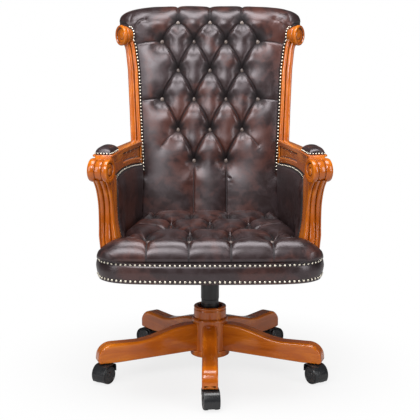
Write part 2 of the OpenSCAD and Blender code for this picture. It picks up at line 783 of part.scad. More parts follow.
// The band's outline in plan, moved inwards by d, anticlockwise from the front centre
function plan_half(d) = let (w = seat_half - d, v = seat_rear_half - d, f = d - seat_front, r = seat_rear - d)
    smooth(concat(
        [[0, f]],
        [for (p = plan_front) [w * p[0], f + p[1]]],
        [for (p = plan_side) [v + (w - v) * p[0], f + (r - f) * p[1]]],
        [for (p = plan_corner) [v - p[0], r - p[1]]]
    ), 3);
function seat_plan(d = 0) = let (h = plan_half(d), m = mirrored(h))
    concat(h, [for (i = [0 : len(m) - 2]) m[i]]);
module seat_frame() {
    color("burlywood") difference() {
        translate([0, 0, seat_z]) linear_extrude(height = band_h) polygon(seat_plan(band_t));
        translate([0, 0, seat_z + deck_t]) linear_extrude(height = band_h)
            polygon(seat_plan(band_t + rail_t));
        bolt_places() translate([0, 0, seat_z - past]) cylinder(d = bolt_d, h = bolt_bite + past);
    }
}
module seat_band() {
    color(leather) difference() {
        translate([0, 0, seat_z]) linear_extrude(height = band_h) polygon(seat_plan());
        translate([0, 0, seat_z - past]) linear_extrude(height = band_h + 2 * past)
            polygon(seat_plan(band_t));
    }
}

// Tufting: each button pinches the leather, and a pleat runs to each next button
pinch_reach = 26;
pleat_reach = 11;
pleat_depth = 0.45;
pleat_rise = 105;
pleat_share = 0.75;
side_pleat = [2.4, 8];
low_pleat = [2.2, 90];
function seat_row_xs(row) = row == 1 ? [-1, 0, 1] * seat_pitch : [-1.5, -0.5, 0.5, 1.5] * seat_pitch;
seat_buttons = [for (row = [0 : 2]) for (x = seat_row_xs(row)) [x, seat_rows_y[row]]];
function back_xs(i) = [for (k = [-back_row_reach[i] : 1 : back_row_reach[i]]) k * back_pitch];
back_buttons = [for (i = [0 : len(back_rows_s) - 1]) for (x = back_xs(i)) [x, back_rows_s[i]]];
back_pleats = concat(
    [for (a = back_buttons) for (b = back_buttons)
        if (a[1] < b[1] && b[1] - a[1] < pleat_rise && abs(a[0] - b[0]) < pleat_share * back_pitch) [a, b]],
    [for (x = back_xs(0)) [[x, back_rows_s[0]], [x, 0]]],
    [for (x = back_xs(5)) [[x, back_rows_s[5]], [x, back_h + roll_r]]],
    [for (s = [-1, 1]) for (i = [2, 4])
        [[s * 1.5 * back_pitch, back_rows_s[i]], [s * side_pleat[0] * back_pitch, back_rows_s[i] - side_pleat[1]]]],
    [for (s = [-1, 1])
        [[s * back_pitch, back_rows_s[1]], [s * low_pleat[0] * back_pitch, back_rows_s[1] - low_pleat[1]]]]
);
function to_segment(p, a, b) = let (t = clamp01((p - a) * (b - a) / ((b - a) * (b - a))))
    norm(p - a - t * (b - a));
function pinch(p, buttons, depth, reach) = depth * exp(-pow(min([for (b = buttons) norm(p - b)]) / reach, 2));
function crease(p, pleats, depth, reach) =
    depth * exp(-pow(min([for (q = pleats) to_segment(p, q[0], q[1])]) / reach, 2));
function tuft(p, buttons, pleats, depth) =
    max(pinch(p, buttons, depth, pinch_reach), crease(p, pleats, depth * pleat_depth, pleat_reach));

// Columns across a cushion: even ones through the buttons, then a few out to its edge
function columns(pitch, count, shares, half) = let (
    step = outer_pitches * pitch / count,
    right = concat([for (i = [1 : count]) i * step],
                   [for (f = shares) outer_pitches * pitch + (half - outer_pitches * pitch) * f]))
    concat([for (i = [len(right) - 1 : -1 : 0]) -right[i]], [0], right);

// Seat cushion: a wide part in front of the arms and a neck between them, both with rolled edges
function cushion_nose(half, front, deep) = let (r = cushion_corner, inner = half - r) concat(
    [for (k = [0 : 4]) [inner * k / 4, front + cushion_bow * pow(inner * k / 4 / cushion_half, 2)]],
    [for (a = [corner_turn : corner_turn : 90]) [inner + r * sin(a), front + deep * (1 - cos(a))
        + cushion_bow * pow((inner + r * sin(a)) / cushion_half, 2)]]);
function wide_part(l) = let (front = cushion_front + l[2]) concat(
    cushion_nose(cushion_half - l[1], front, min(cushion_corner, cushion_step_y - front - cushion_bow - past)),
    [[cushion_half - l[1], cushion_step_y]]);
function neck_part(l) = concat(cushion_nose(neck_half - l[1], cushion_front + l[2], cushion_corner),
                               [[neck_half - l[1], neck_y], [neck_rear_half - l[1], cushion_rear - l[1] / 2]]);
module rolled_layer(l, half_outline) {
    translate([0, 0, seat_top + soft_gap + (cushion_h - layer_t) * l[0]]) linear_extrude(height = layer_t)
        polygon(concat(half_outline, mirrored(half_outline)));
}
module seat_cushion() {
    color(leather) {
        hull() for (l = wide_layers) rolled_layer(l, wide_part(l));
        hull() for (l = neck_layers) rolled_layer(l, neck_part(l));
        translate([0, 0, seat_z + deck_t + soft_gap])
            linear_extrude(height = band_h - deck_t - soft_gap)
            polygon(seat_plan(band_t + rail_t + soft_gap));
    }
}

// Back
outer_pitches = 1.5;
drawn_from = 440;
drawn_low = 14;
drawn_power = 6;
edge_brow = 40;
roll_open = 1.6;
roll_core = 3;
roll_end_share = 0.998;
rear_inset = 4;
board_wide = 30;
board_bevel = [10, 12];
// A button's turned outline: share of its radius, and height
button_profile = [[1, 4.22], [1, 5.32], [0.85, 6.62], [0.5, 7.62], [0, 8.02]];
button_under = 0.5;
function roll_angle(s) = (s - roll_s) / roll_r * 180 / PI;
function back_half_at(s) = back_half + back_flare * lookup(s / roll_s, flare_steps);
function roll_half_at(s) =
    back_half_at(roll_s) + (roll_half - soft_gap - back_half_at(roll_s)) * sin(min(90, roll_open * roll_angle(s)));
function roll_radius(x) = let (k = min(abs(x) / roll_half, roll_end_share))
    roll_r * pow(1 - pow(k, roll_end_power), 1 / roll_end_power);
function drawn_in(x, s) = let (
    k = clamp01((s - drawn_from) / (roll_s - drawn_from)),
    low = drawn_low * pow(abs(x) / back_half_at(s), drawn_power))
    low * (1 - k) + (roll_r - roll_radius(x)) * k;
function back_point(x, s) = let (d = tuft([x, s], back_buttons, back_pleats, back_tuft)
        * brow((s <= roll_s ? back_half_at(s) : roll_half_at(s)) - abs(x), edge_brow))
    s <= roll_s
    ? [x, back_y + lean * s + drawn_in(x, s) + d, seat_top + soft_gap + s]
    : let (a = roll_angle(s), r = max(roll_radius(x) - d, 2 * roll_core))
        [x, roll_y - r * cos(a), roll_z + soft_gap + r * sin(a)];
back_ss = concat(
    [for (k = [0 : 3]) back_rows_s[0] * k / 4],
    [for (i = [0 : 4]) for (k = [0 : (i == 4 ? 2 : 3)])
        back_rows_s[i] + (back_rows_s[i + 1] - back_rows_s[i]) * k / (i == 4 ? 3 : 4)],
    [for (k = [0 : 7]) back_rows_s[5] + (roll_s + PI * roll_r - back_rows_s[5]) * k / 7]
);
function back_rear(x, s) = s <= roll_s
    ? [x, back_y + lean * s + back_pad - soft_gap, seat_top + soft_gap + s]
    : let (a = roll_angle(s)) [x, roll_y - roll_core * cos(a), roll_z + soft_gap + roll_core * sin(a)];
module back_cushion() {
    rows = [for (s = back_ss) let (half = s <= roll_s ? back_half_at(s) : roll_half_at(s)) concat(
        [for (x = columns(back_pitch, back_columns, back_edge_shares, half)) back_point(x, s)],
        [back_rear(half - rear_inset, s), back_rear(rear_inset - half, s)])];
    n = len(rows[0]);
    ny = len(rows);
    points = [for (r = rows) for (p = r) p];
    faces = concat(
        [[for (i = [n - 1 : -1 : 0]) i]],
        [[for (i = [0 : n - 1]) (ny - 1) * n + i]],
        [for (j = [0 : ny - 2]) for (i = [0 : n - 1]) let (k = (i + 1) % n)
            [j * n + i, j * n + k, (j + 1) * n + k]],
        [for (j = [0 : ny - 2]) for (i = [0 : n - 1]) let (k = (i + 1) % n)
            [j * n + i, (j + 1) * n + k, (j + 1) * n + i]]
    );
    color(leather) polyhedron(points, faces);
}
module back_board() {
    top = roll_s;
    widths = [for (f = flare_steps) [back_half + board_wide + back_flare * f[1] / 2, seat_top + roll_s * f[0]]];
    front = back_y + back_pad;
    color(leather) intersection() {
        side_plate([
            [front, seat_top], [front + lean * top, seat_top + top],
            [front + lean * top + board_t - board_bevel[0], seat_top + top],
            [front + lean * top + board_t, seat_top + top - board_bevel[1]],
            [front + board_t, seat_top]
        ], 3 * back_half);
        front_plate(concat([[0, seat_top]], widths, mirrored(widths)), 8 * back_half);
    }
}
module tuft_button() {
    color(leather) rotate_extrude($fn = 32) polygon(concat([[0, button_under]],
        [for (p = button_profile) [button_d / 2 * p[0], p[1]]]));
}
module tuft_buttons() {
    for (b = seat_buttons) translate([b[0], b[1], seat_top + soft_gap + cushion_h]) tuft_button();
    for (b = back_buttons) let (p = back_point(b[0], b[1]))
        translate(p) rotate([90 - max(0, roll_angle(b[1])), 0, 0]) tuft_button();
}

// Uprights
stile_gap = 1;
function stile_inner(f) = back_half + back_flare * f[1] + stile_gap;
// Width of the upright in shares of its nominal width, by height share
stile_outer = [[0, 1.15], [0.43, 1], [0.576, 0.98], [0.777, 0.98], [0.87, 0.93], [0.9, 0.97]];
// Its rear edge near the top: height share and depth share
stile_rear = [[1, 0.4], [0.93, 0.8], [0.8, 1]];
stile_drop = 6;
neck_drop = 31;
scroll_drop = 31;
scroll_z = seat_top + roll_s - scroll_drop;
scroll_turn = 33;
scroll_ahead = 23;
scroll_y = back_y + lean * roll_s - scroll_ahead;
scroll_out = 26;
scroll_x = back_half + back_flare + scroll_out;
// Diameter share of the scroll's inner end
scroll_taper = 0.72;
module back_stile() {
    inner = [for (f = flare_steps) [stile_inner(f), seat_top + roll_s * f[0]]];
    outer = [for (o = stile_outer)
        [back_half + back_flare * lookup(o[0], flare_steps) + stile_gap + o[1] * stile_w,
         seat_top + roll_s * o[0]]];
    top_z = seat_top + roll_s - stile_drop;
    front = back_y - stile_proud;
    depth = stile_proud + back_pad;
    color(wood) union() {
        intersection() {
            side_plate(concat(
                [[front, seat_top], [front + lean * roll_s, seat_top + roll_s]],
                [for (p = stile_rear) [front + lean * roll_s * p[0] + depth * p[1], seat_top + roll_s * p[0]]],
                [[front + depth, seat_top]]
            ), 4 * back_half);
            front_plate(concat(
                [for (i = [len(inner) - 2 : -1 : 0]) inner[i]],
                outer,
                [[scroll_x, seat_top + roll_s - neck_drop], [scroll_x, top_z], [stile_inner([1, 1]), top_z]]
            ), 4 * back_half);
        }
        translate([scroll_x, scroll_y, scroll_z]) rotate([0, 0, -90 - scroll_turn]) rotate([-90, 0, 0])
            translate([0, 0, -scroll_l]) cylinder(d1 = scroll_taper * scroll_d, d2 = scroll_d, h = scroll_l);
    }
}

// Arms, modelled along +X from the rear end forwards, with +Y towards the sitter, for the left side
module arm_place() {
    translate([-arm_x, arm_y, seat_top]) rotate([0, 0, -90 - arm_splay]) children();
}
function panel_top() = concat([for (p = rail_edge) [post_back * p[0], arm_h * p[1]]], [[-arm_tail, rail_low]]);
module arm_panel() {
    color(leather) intersection() {
        translate([0, panel_in, 0]) rotate([90, 0, 0]) linear_extrude(height = panel_in + panel_out)
            polygon(concat([[-arm_tail, 0], [post_back, 0]], smooth(panel_top(), 3)));
        rear_cut();
    }
}
// Everything in front of the upright's front face
module rear_cut() {
    rotate([0, 0, 90 + arm_splay]) translate([arm_x, -arm_y, 0])
        side_plate([[-seat_front * 2, -past], [back_y - stile_proud - lean * past, -past],
                    [back_y - stile_proud + lean * back_h, back_h], [-seat_front * 2, back_h]],
                   4 * seat_w);
}
module arm_rail() {
    far = recess_share * post_back;
    recess = [[recess_rear, rail_low + recess_rim], [far, rail_low + 2 * recess_rim],
              [far, arm_h - recess_rim], [recess_rear, arm_h - recess_rim - rail_fall]];
    color(wood) difference() {
        intersection() {
            union() {
                rotate([90, 0, 0]) linear_extrude(height = arm_rail_t, center = true)
                    polygon(concat(smooth(panel_top(), 3),
                        [[-arm_tail, arm_h - rail_fall], [rail_level * post_back, arm_h], [post_back + post_step, arm_h],
                         [post_back, neck_share * arm_h]]));
                translate([arm_l - pad_front - pad_l - ledge_nose, -pad_w / 2 - ledge_nose, arm_h])
                    cube([pad_l + 2 * ledge_nose, pad_w + 2 * ledge_nose, ledge_t]);
            }
            rear_cut();
        }
        translate([0, arm_rail_t / 2 - recess_t, 0]) rotate([90, 0, 0]) translate([0, 0, -recess_t - past])
            linear_extrude(height = recess_t + past) polygon(recess);
    }
}
module arm_pad() {
    z = arm_h + ledge_t + soft_gap;
    r = pad_round * pad_h;
    side = concat([[0, 0], [pad_l, 0]],
        [for (a = [0 : 15 : 90]) [pad_l - r + r * cos(a), pad_h - r + r * sin(a)]],
        [for (a = [90 : 15 : 180]) [r + r * cos(a), pad_h - r + r * sin(a)]]);
    cross = [for (a = [0 : 10 : 180])
        [pad_w / 2 * cos(a) * (1 - pad_swell + pad_swell * sin(a)), pad_h * pow(sin(a), pad_power)]];
    color(leather) translate([arm_l - pad_front - pad_l, 0, z]) intersection() {
        rotate([90, 0, 0]) linear_extrude(height = pad_w, center = true) polygon(side);
        rotate([90, 0, 90]) linear_extrude(height = pad_l) polygon(cross);
    }
}
module arm_post() {
    front = smooth([for (p = post_front) [arm_l + arm_h * p[0], arm_h * p[1]]], 3);
    back = [[post_back, 0], [post_back, neck_share * arm_h], [post_back + post_step, arm_h]];
    cross = concat([for (p = post_inner) [p[0] * post_half, p[1] * arm_h]],
        [[post_half, arm_h], [-post_top_outer * post_half, arm_h]],
        [for (i = [len(post_outer) - 1 : -1 : 0]) [-post_outer[i][0] * post_half, post_outer[i][1] * arm_h]]);
    r = volute_d / 2;
    h = volute_w / 2;
    half = concat([for (v = volute_bands) [r - v[1], v[0] * h]],
                  [[r, h - volute_edge], [r - volute_edge, h], [r * volute_dish[1], h],
                   [r * volute_dish[0], h - volute_sink], [0, h - volute_sink]]);
    lower = [for (i = [len(half) - 1 : -1 : 1]) [half[i][0], -half[i][1]]];
    color(wood) union() {
        intersection() {
            rotate([90, 0, 0]) linear_extrude(height = 2 * volute_w, center = true)
                polygon(concat(front, back, [[arm_l, arm_h]]));
            rotate([90, 0, 90]) linear_extrude(height = 2 * arm_l) polygon(cross);
        }
        translate([arm_l, volute_in, arm_h - r]) rotate([0, 0, -volute_turn]) rotate([90, 0, 0])
            rotate_extrude() polygon(concat(lower, half));
    }
}

// Nail trim: the strips under the two rows of nails round the band
nail_rows_z = [9, 58];
module nail_trim() {
    color(bronze) for (z = nail_rows_z)
        translate([0, 0, seat_z + z - nail_strip / 2]) linear_extrude(height = nail_strip) difference() {
            polygon(seat_plan(-nail_strip_t));
            polygon(seat_plan());
        }
}

base_hub();
hub_collar();
hub_sleeve();
rotate([0, 0, leg_angle(0)]) base_leg();  // base_leg_front
rotate([0, 0, leg_angle(1)]) base_leg();  // base_leg_right_front
rotate([0, 0, leg_angle(2)]) base_leg();  // base_leg_right_rear
rotate([0, 0, leg_angle(3)]) base_leg();  // base_leg_left_rear
rotate([0, 0, leg_angle(4)]) base_leg();  // base_leg_left_front
leg_dowels();
caster_sockets();
column_tube();
column_bushing();
piston_rod();
gas_cylinder();
release_button();
column_cover();
at_caster(0) caster_housing();  // caster_front_housing
at_caster(0) caster_pins();  // caster_front_pins
at_caster(0) caster_wheel(-1);  // caster_front_wheel_left
at_caster(0) caster_wheel(1);  // caster_front_wheel_right
at_caster(1) caster_housing();  // caster_right_front_housing
at_caster(1) caster_pins();  // caster_right_front_pins
at_caster(1) caster_wheel(-1);  // caster_right_front_wheel_left
at_caster(1) caster_wheel(1);  // caster_right_front_wheel_right
at_caster(2) caster_housing();  // caster_right_rear_housing
at_caster(2) caster_pins();  // caster_right_rear_pins
at_caster(2) caster_wheel(-1);  // caster_right_rear_wheel_left
at_caster(2) caster_wheel(1);  // caster_right_rear_wheel_right
at_caster(3) caster_housing();  // caster_left_rear_housing
at_caster(3) caster_pins();  // caster_left_rear_pins
at_caster(3) caster_wheel(-1);  // caster_left_rear_wheel_left
at_caster(3) caster_wheel(1);  // caster_left_rear_wheel_right
at_caster(4) caster_housing();  // caster_left_front_housing
at_caster(4) caster_pins();  // caster_left_front_pins
at_caster(4) caster_wheel(-1);  // caster_left_front_wheel_left
at_caster(4) caster_wheel(1);  // caster_left_front_wheel_right
tilt_housing();
pivot_pin();
tilt_spring();
tension_knob();
height_lever();
seat_plate();
seat_bolts();
seat_frame();
seat_band();
seat_cushion();
tuft_buttons();
back_board();
back_cushion();
mirror_x() back_stile();  // back_stile_left
back_stile();  // back_stile_right
arm_place() arm_post();  // arm_post_left
mirror_x() arm_place() arm_post();  // arm_post_right
arm_place() arm_rail();  // arm_rail_left
mirror_x() arm_place() arm_rail();  // arm_rail_right
arm_place() arm_pad();  // arm_pad_left
mirror_x() arm_place() arm_pad();  // arm_pad_right
arm_place() arm_panel();  // arm_panel_left
mirror_x() arm_place() arm_panel();  // arm_panel_right
nail_trim();
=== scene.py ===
"""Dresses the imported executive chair: carved wood, tufted leather, brass nails and black plastic."""
import json
import math

import bpy
import numpy as np
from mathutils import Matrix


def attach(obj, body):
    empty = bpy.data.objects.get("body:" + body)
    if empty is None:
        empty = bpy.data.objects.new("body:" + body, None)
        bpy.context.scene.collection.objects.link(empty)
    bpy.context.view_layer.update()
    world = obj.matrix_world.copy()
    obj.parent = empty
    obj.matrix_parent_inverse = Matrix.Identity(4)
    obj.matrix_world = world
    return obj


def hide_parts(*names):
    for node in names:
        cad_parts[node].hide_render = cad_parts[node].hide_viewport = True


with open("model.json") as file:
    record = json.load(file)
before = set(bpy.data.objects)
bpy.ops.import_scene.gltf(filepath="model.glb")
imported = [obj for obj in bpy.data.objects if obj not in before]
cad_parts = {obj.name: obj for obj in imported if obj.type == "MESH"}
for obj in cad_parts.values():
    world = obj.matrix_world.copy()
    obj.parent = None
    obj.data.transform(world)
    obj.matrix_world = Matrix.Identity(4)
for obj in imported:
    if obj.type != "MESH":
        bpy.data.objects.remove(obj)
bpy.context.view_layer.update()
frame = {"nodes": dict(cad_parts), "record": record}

bl_info = {
    "name": "Tufted office chair",
    "version": (1, 0, 0),
    "blender": (4, 5, 0),
    "location": "3D View > Sidebar > Chair",
    "description": "Builds the wood, leather, nails and casters of an executive chair round its packed frame",
    "category": "Object",
}

MM = 0.001
SIDES = {"left": -1, "right": 1}
CASTERS = ("front", "right_front", "right_rear", "left_rear", "left_front")

# Sizes of the frame that the looks are fitted to, in millimetres and degrees; FLARE is in shares of its spans
WHEEL_R = 29.0
WHEEL_W = 17.5
CASTER_TRAIL = 22.0
CASTER_HALF_W = 24.8
WEB_T = 13.0
HOOD_R = 32.3
HOOD_T = 2.5
STEM_R = 336.0
CASTER_TURNS = (8.0, -40.0, -14.0, 14.0, 40.0)
LEG_Z = 63.9
LEG_END = 371.0
LEG_W = 48.0
LEG_T = 61.0
LEG_ROOT_T = 101.0
LEG_RISE = 15.0
LEG_NOSE = 46.0
HUB_R = 56.5
HUB_BOTTOM = 59.9
HUB_TOP = 179.9
COLLAR_TOP = 219.9
SEAT_Z = 371.0
SEAT_TOP = 441.0
SEAT_HALF = 334.0
SEAT_REAR_HALF = 268.0
SEAT_FRONT = 336.0
SEAT_REAR = 254.0
CUSHION_FRONT = -344.0
CUSHION_REAR = 136.0
CUSHION_HALF = 333.0
CUSHION_H = 62.0
CUSHION_CORNER = 60.0
CUSHION_BOW = 10.0
CUSHION_STEP = -278.0
NECK_HALF = 254.0
NECK_REAR_HALF = 217.6
SEAT_ROWS = (-265.0, -116.0, 40.0)
SEAT_PITCH = 121.0
SEAT_BUTTON_Z = SEAT_TOP + CUSHION_H - 22.5
BACK_H = 709.0
BACK_HALF = 218.5
BACK_FLARE = 49.5
LEAN = math.tan(math.radians(11.3))
BACK_Y = 138.0
STILE_Y = BACK_Y - 6
ROLL_R = 60.0
ROLL_HALF = 300.0
ROLL_S = BACK_H - ROLL_R
ROLL_Z = SEAT_TOP + ROLL_S
ROLL_Y = BACK_Y + LEAN * ROLL_S + ROLL_R
BACK_PAD = 64.0
BOARD_T = 48.0
BACK_PITCH = 105.0
BACK_ROWS = (209.0, 309.0, 408.0, 500.5, 593.0, 659.0)
BACK_REACH = (0.5, 1.0, 1.5, 1.0, 1.5, 1.0)
FLARE = np.array([[0, 0], [0.322, 0.06], [0.43, 0.13], [0.576, 0.22],
                  [0.777, 0.34], [0.892, 0.54], [0.949, 0.75], [1, 1]])
ARM_X = 242.0
ARM_SPLAY = 9.8
ARM_L = 457.0
ARM_H = 294.0
ARM_REAR_Y = 170.0
POST_DEPTH = 85.0
RAIL_DEPTH = 85.0
POST_BACK = ARM_L - POST_DEPTH
RAIL_LOW = ARM_H - RAIL_DEPTH
RAIL_ARCH = RAIL_LOW + 22
POST_HALF = 30.0
NECK_SHARE = 0.796
VOLUTE_R = 35.0
VOLUTE_W = 62.0
VOLUTE_IN = 5.0
VOLUTE_TURN = 10.0
PAD_W = 52.0
PAD_L = 96.0
PAD_H = 22.0
PAD_FRONT = 40.0
LEDGE_T = 4.0
LEDGE_NOSE = 5.0
PANEL_IN = 28.0
PANEL_OUT = 20.0
RAIL_T = 34.0
RAIL_FALL = 13.0
STILE_W = 33.0
STILE_GAP = 1.0
SCROLL_R = 33.0
SCROLL_L = 40.0
SCROLL_AT = np.array([BACK_HALF + BACK_FLARE + 26, BACK_Y + LEAN * ROLL_S - 23, SEAT_TOP + ROLL_S - 31])
SCROLL_TURN = math.radians(33)
SCROLL_AXIS = np.array([math.cos(SCROLL_TURN), -math.sin(SCROLL_TURN), 0.0])


# ---------- curves and shapes ----------

def unit(v):
    """Each vector divided by its length."""
    return v / np.maximum(np.linalg.norm(v, axis=-1, keepdims=True), 1e-9)


def clamp(x, low=0.0, high=1.0):
    """x held between low and high."""
    return np.minimum(np.maximum(x, low), high)


def ease(x):
    """0 to 1 with level ends: 3x^2 - 2x^3."""
    x = clamp(x)
    return x * x * (3 - 2 * x)


def brow(d, r):
    """Height share of a rounded edge: 0 on the edge, a quarter ellipse up to 1 at r inwards."""
    return np.sqrt(clamp(1 - (1 - clamp(d, 0, r) / r) ** 2))


def half_round(q, a, b):
    """A bead between a and b: half an ellipse, 0 outside."""
    return np.sqrt(clamp(1 - ((q - (a + b) / 2) / ((b - a) / 2)) ** 2))


def bell(d, w):
    """1 at 0, falling off over a width w on both sides: e^-(d/w)^2."""
    return np.exp(-(d / w) ** 2)


def resample(path, count):
    """The same line with count points spread evenly along its length."""
    run = np.concatenate([[0], np.cumsum(np.linalg.norm(np.diff(path, axis=0), axis=1))])
    at = np.linspace(0, run[-1], count)
    return np.stack([np.interp(at, run, path[:, k]) for k in range(path.shape[1])], 1)


def curve(points, count, closed=False):
    """A Catmull-Rom curve through the points, evenly spaced; a closed one leaves out its last point."""
    p = np.asarray(points, float)
    q = np.vstack([p[-1:], p, p[:2]]) if closed else np.vstack([p[:1], p, p[-1:]])
    a, b, c, d = (k[:, None] for k in (q[:-3], q[1:-2], q[2:-1], q[3:]))
    t = np.linspace(0, 1, 20, endpoint=False)[None, :, None]
    line = 0.5 * (2 * b + (c - a) * t + (2 * a - 5 * b + 4 * c - d) * t * t
                  + (3 * b - a - 3 * c + d) * t ** 3)
    line = np.vstack([line.reshape(-1, p.shape[1]), p[:1] if closed else p[-1:]])
    return resample(line, count + 1)[:-1] if closed else resample(line, count)


def circle(count):
    """The angles of count points spread evenly round a circle."""
    return np.linspace(0, 2 * math.pi, count, endpoint=False)


def spread(count, crowd):
    """count numbers from -1 to 1, closer together towards both ends as crowd goes to 1."""
    w = np.linspace(-1, 1, count)
    return np.sin(w * crowd * math.pi / 2) / math.sin(crowd * math.pi / 2)


def turn(axis, degrees):
    """The matrix of a turn about X, Y or Z."""
    a = math.radians(degrees)
    c, s = math.cos(a), math.sin(a)
    i, j = {"x": (1, 2), "y": (2, 0), "z": (0, 1)}[axis]
    m = np.eye(3)
    m[i, i], m[j, j], m[i, j], m[j, i] = c, c, -s, s
    return m


def ripple(x, y, seed, reach, octaves=3):
    """A smooth uneven height: a few sine waves of set directions and phases, each finer and lower."""
    rng = np.random.default_rng(seed)
    total = np.zeros(np.broadcast(x, y).shape)
    for k in range(octaves):
        for _ in range(4):
            a, phase = rng.uniform(0, 2 * math.pi, 2)
            f = 2 * math.pi / (reach / 1.9 ** k) * rng.uniform(0.7, 1.3)
            total += np.sin((x * math.cos(a) + y * math.sin(a)) * f + phase) / 1.7 ** k
    return total / 6


# ---------- shells and pieces ----------

class Shell:
    """Points in millimetres, faces, and a hollow mark and a grain place for each point."""

    def __init__(self, points, faces, hollow=None, grain=None):
        self.points = np.asarray(points, float).reshape(-1, 3)
        self.faces = faces
        n = len(self.points)
        self.hollow = np.zeros(n) if hollow is None else np.asarray(hollow, float).reshape(n)
        self.grain = self.points.copy() if grain is None else np.asarray(grain, float).reshape(n, 3)

    def moved(self, matrix=None, by=(0, 0, 0)):
        """A turned and shifted copy; a mirrored one has its faces turned round."""
        m = np.eye(3) if matrix is None else matrix
        faces = self.faces if np.linalg.det(m) > 0 else [f[::-1] for f in self.faces]
        return Shell(self.points @ m.T + np.array(by, float), faces, self.hollow, self.grain)

    def mirrored(self):
        """The same form on the other side of the chair."""
        return self.moved(np.diag([-1.0, 1.0, 1.0]))

    def outward(self):
        """Turns the faces round if the volume inside comes out negative."""
        if outward_volume(self.points, np.array([f for f in self.faces if len(f) == 4])) < 0:
            self.faces = [f[::-1] for f in self.faces]
        return self


def grid_faces(rows, cols, wrap_rows=False, wrap_cols=False):
    """The quads between neighbouring points of a numbered grid."""
    r = np.arange(rows if wrap_rows else rows - 1)[:, None]
    c = np.arange(cols if wrap_cols else cols - 1)[None, :]
    r2, c2 = (r + 1) % rows, (c + 1) % cols
    return np.stack([r * cols + c, r * cols + c2, r2 * cols + c2, r2 * cols + c], -1).reshape(-1, 4)


def hollowness(grid, reach, wrap_rows):
    """How far the mean of the points reach steps away lies outside each point, along the normal. The columns
    close on themselves."""
    if wrap_rows:
        n, s = np.roll(grid, -reach, 0), np.roll(grid, reach, 0)
    else:
        n, s = (grid[np.clip(np.arange(len(grid)) + k, 0, len(grid) - 1)] for k in (reach, -reach))
    e, w = np.roll(grid, -reach, 1), np.roll(grid, reach, 1)
    normal = unit(np.cross(e - w, n - s))
    return np.sum(((n + s + e + w) / 4 - grid) * normal, -1)


def outward_volume(points, quads):
    """A number that is negative where the quads face inwards: six times the volume that they span with 0."""
    p = points[quads]
    return (np.einsum("ij,ij->i", p[:, 0], np.cross(p[:, 1], p[:, 2]))
            + np.einsum("ij,ij->i", p[:, 0], np.cross(p[:, 2], p[:, 3]))).sum()


def lofted(rings, wrap_rows=False, grain=None, reach=2, hollow=None):
    """A closed form from closed rings of points, each joined to the next. Its two ends are shut by flat fans,
    or joined to each other where wrap_rows is set."""
    n, m = rings.shape[:2]
    points = rings.reshape(-1, 3)
    quads = grid_faces(n, m, wrap_rows, True)
    marks = (hollowness(rings, reach, wrap_rows) if hollow is None else np.asarray(hollow, float)).ravel()
    fans = []
    if not wrap_rows:
        around, last = np.arange(m), (n - 1) * m
        ahead = (around + 1) % m
        fans = [np.stack([ahead, around, np.full(m, n * m)], 1),
                np.stack([last + around, last + ahead, np.full(m, n * m + 1)], 1)]
        points = np.vstack([points, rings[0].mean(0), rings[-1].mean(0)])
        marks = np.concatenate([marks, [0, 0]])
        if grain is not None:
            grain = np.vstack([grain.reshape(-1, 3), grain[0].mean(0), grain[-1].mean(0)])
    flip = outward_volume(points, quads) < 0
    if flip and hollow is None:
        marks = -marks
    faces = list(quads) + [triangle for fan in fans for triangle in fan]
    if flip:
        faces = [f[::-1] for f in faces]
    return Shell(points, faces, marks, grain)


def turned(profile, count, reach=2, ring=False):
    """A form turned on Z: the profile's radii and heights carried round a circle. A ring's profile is a closed
    outline, so that the form has a bore."""
    p = np.asarray(profile, float)
    a = circle(count)
    rings = np.stack([p[:, :1] * np.cos(a), p[:, :1] * np.sin(a), np.repeat(p[:, 1:2], count, 1)], -1)
    return lofted(rings, wrap_rows=ring, reach=reach, grain=rings[..., [2, 0, 1]])


def rounded(points, radius, steps=5):
    """A closed outline with each corner cut back and rounded by a small arc (a quadratic curve)."""
    p = np.asarray(points, float)
    back, ahead = np.roll(p, 1, 0) - p, np.roll(p, -1, 0) - p
    room = np.minimum(np.linalg.norm(back, axis=1), np.linalg.norm(ahead, axis=1))
    size = np.minimum(radius, 0.45 * room)[:, None]
    a, b = p + unit(back) * size, p + unit(ahead) * size
    t = np.linspace(0, 1, steps)[None, :, None]
    arc = a[:, None] * (1 - t) ** 2 + 2 * p[:, None] * t * (1 - t) + b[:, None] * t * t
    return arc.reshape(-1, p.shape[1])


def extruded(outline, half, edge, axis="y"):
    """A flat outline given a thickness of twice half along Y or Z, its rims eased by edge."""
    p = np.asarray(outline, float)
    tangent = unit(np.roll(p, -1, 0) - np.roll(p, 1, 0))
    inward = np.stack([-tangent[:, 1], tangent[:, 0]], 1)
    area = np.sum(p[:, 0] * np.roll(p[:, 1], -1) - np.roll(p[:, 0], -1) * p[:, 1])
    if area < 0:
        inward = -inward
    a = np.linspace(0, math.pi / 2, 4)
    offsets = np.concatenate([edge * (1 - np.sin(a)), edge * (1 - np.sin(a[::-1]))])
    heights = np.concatenate([-half + edge * (1 - np.cos(a)), half - edge * (1 - np.cos(a[::-1]))])
    rings = p[None] + inward[None] * offsets[:, None, None]
    z = np.repeat(heights[:, None], len(p), 1)
    order = {"y": (rings[..., 0], z, rings[..., 1]), "z": (rings[..., 0], rings[..., 1], z)}[axis]
    return lofted(np.stack(order, -1), reach=1)


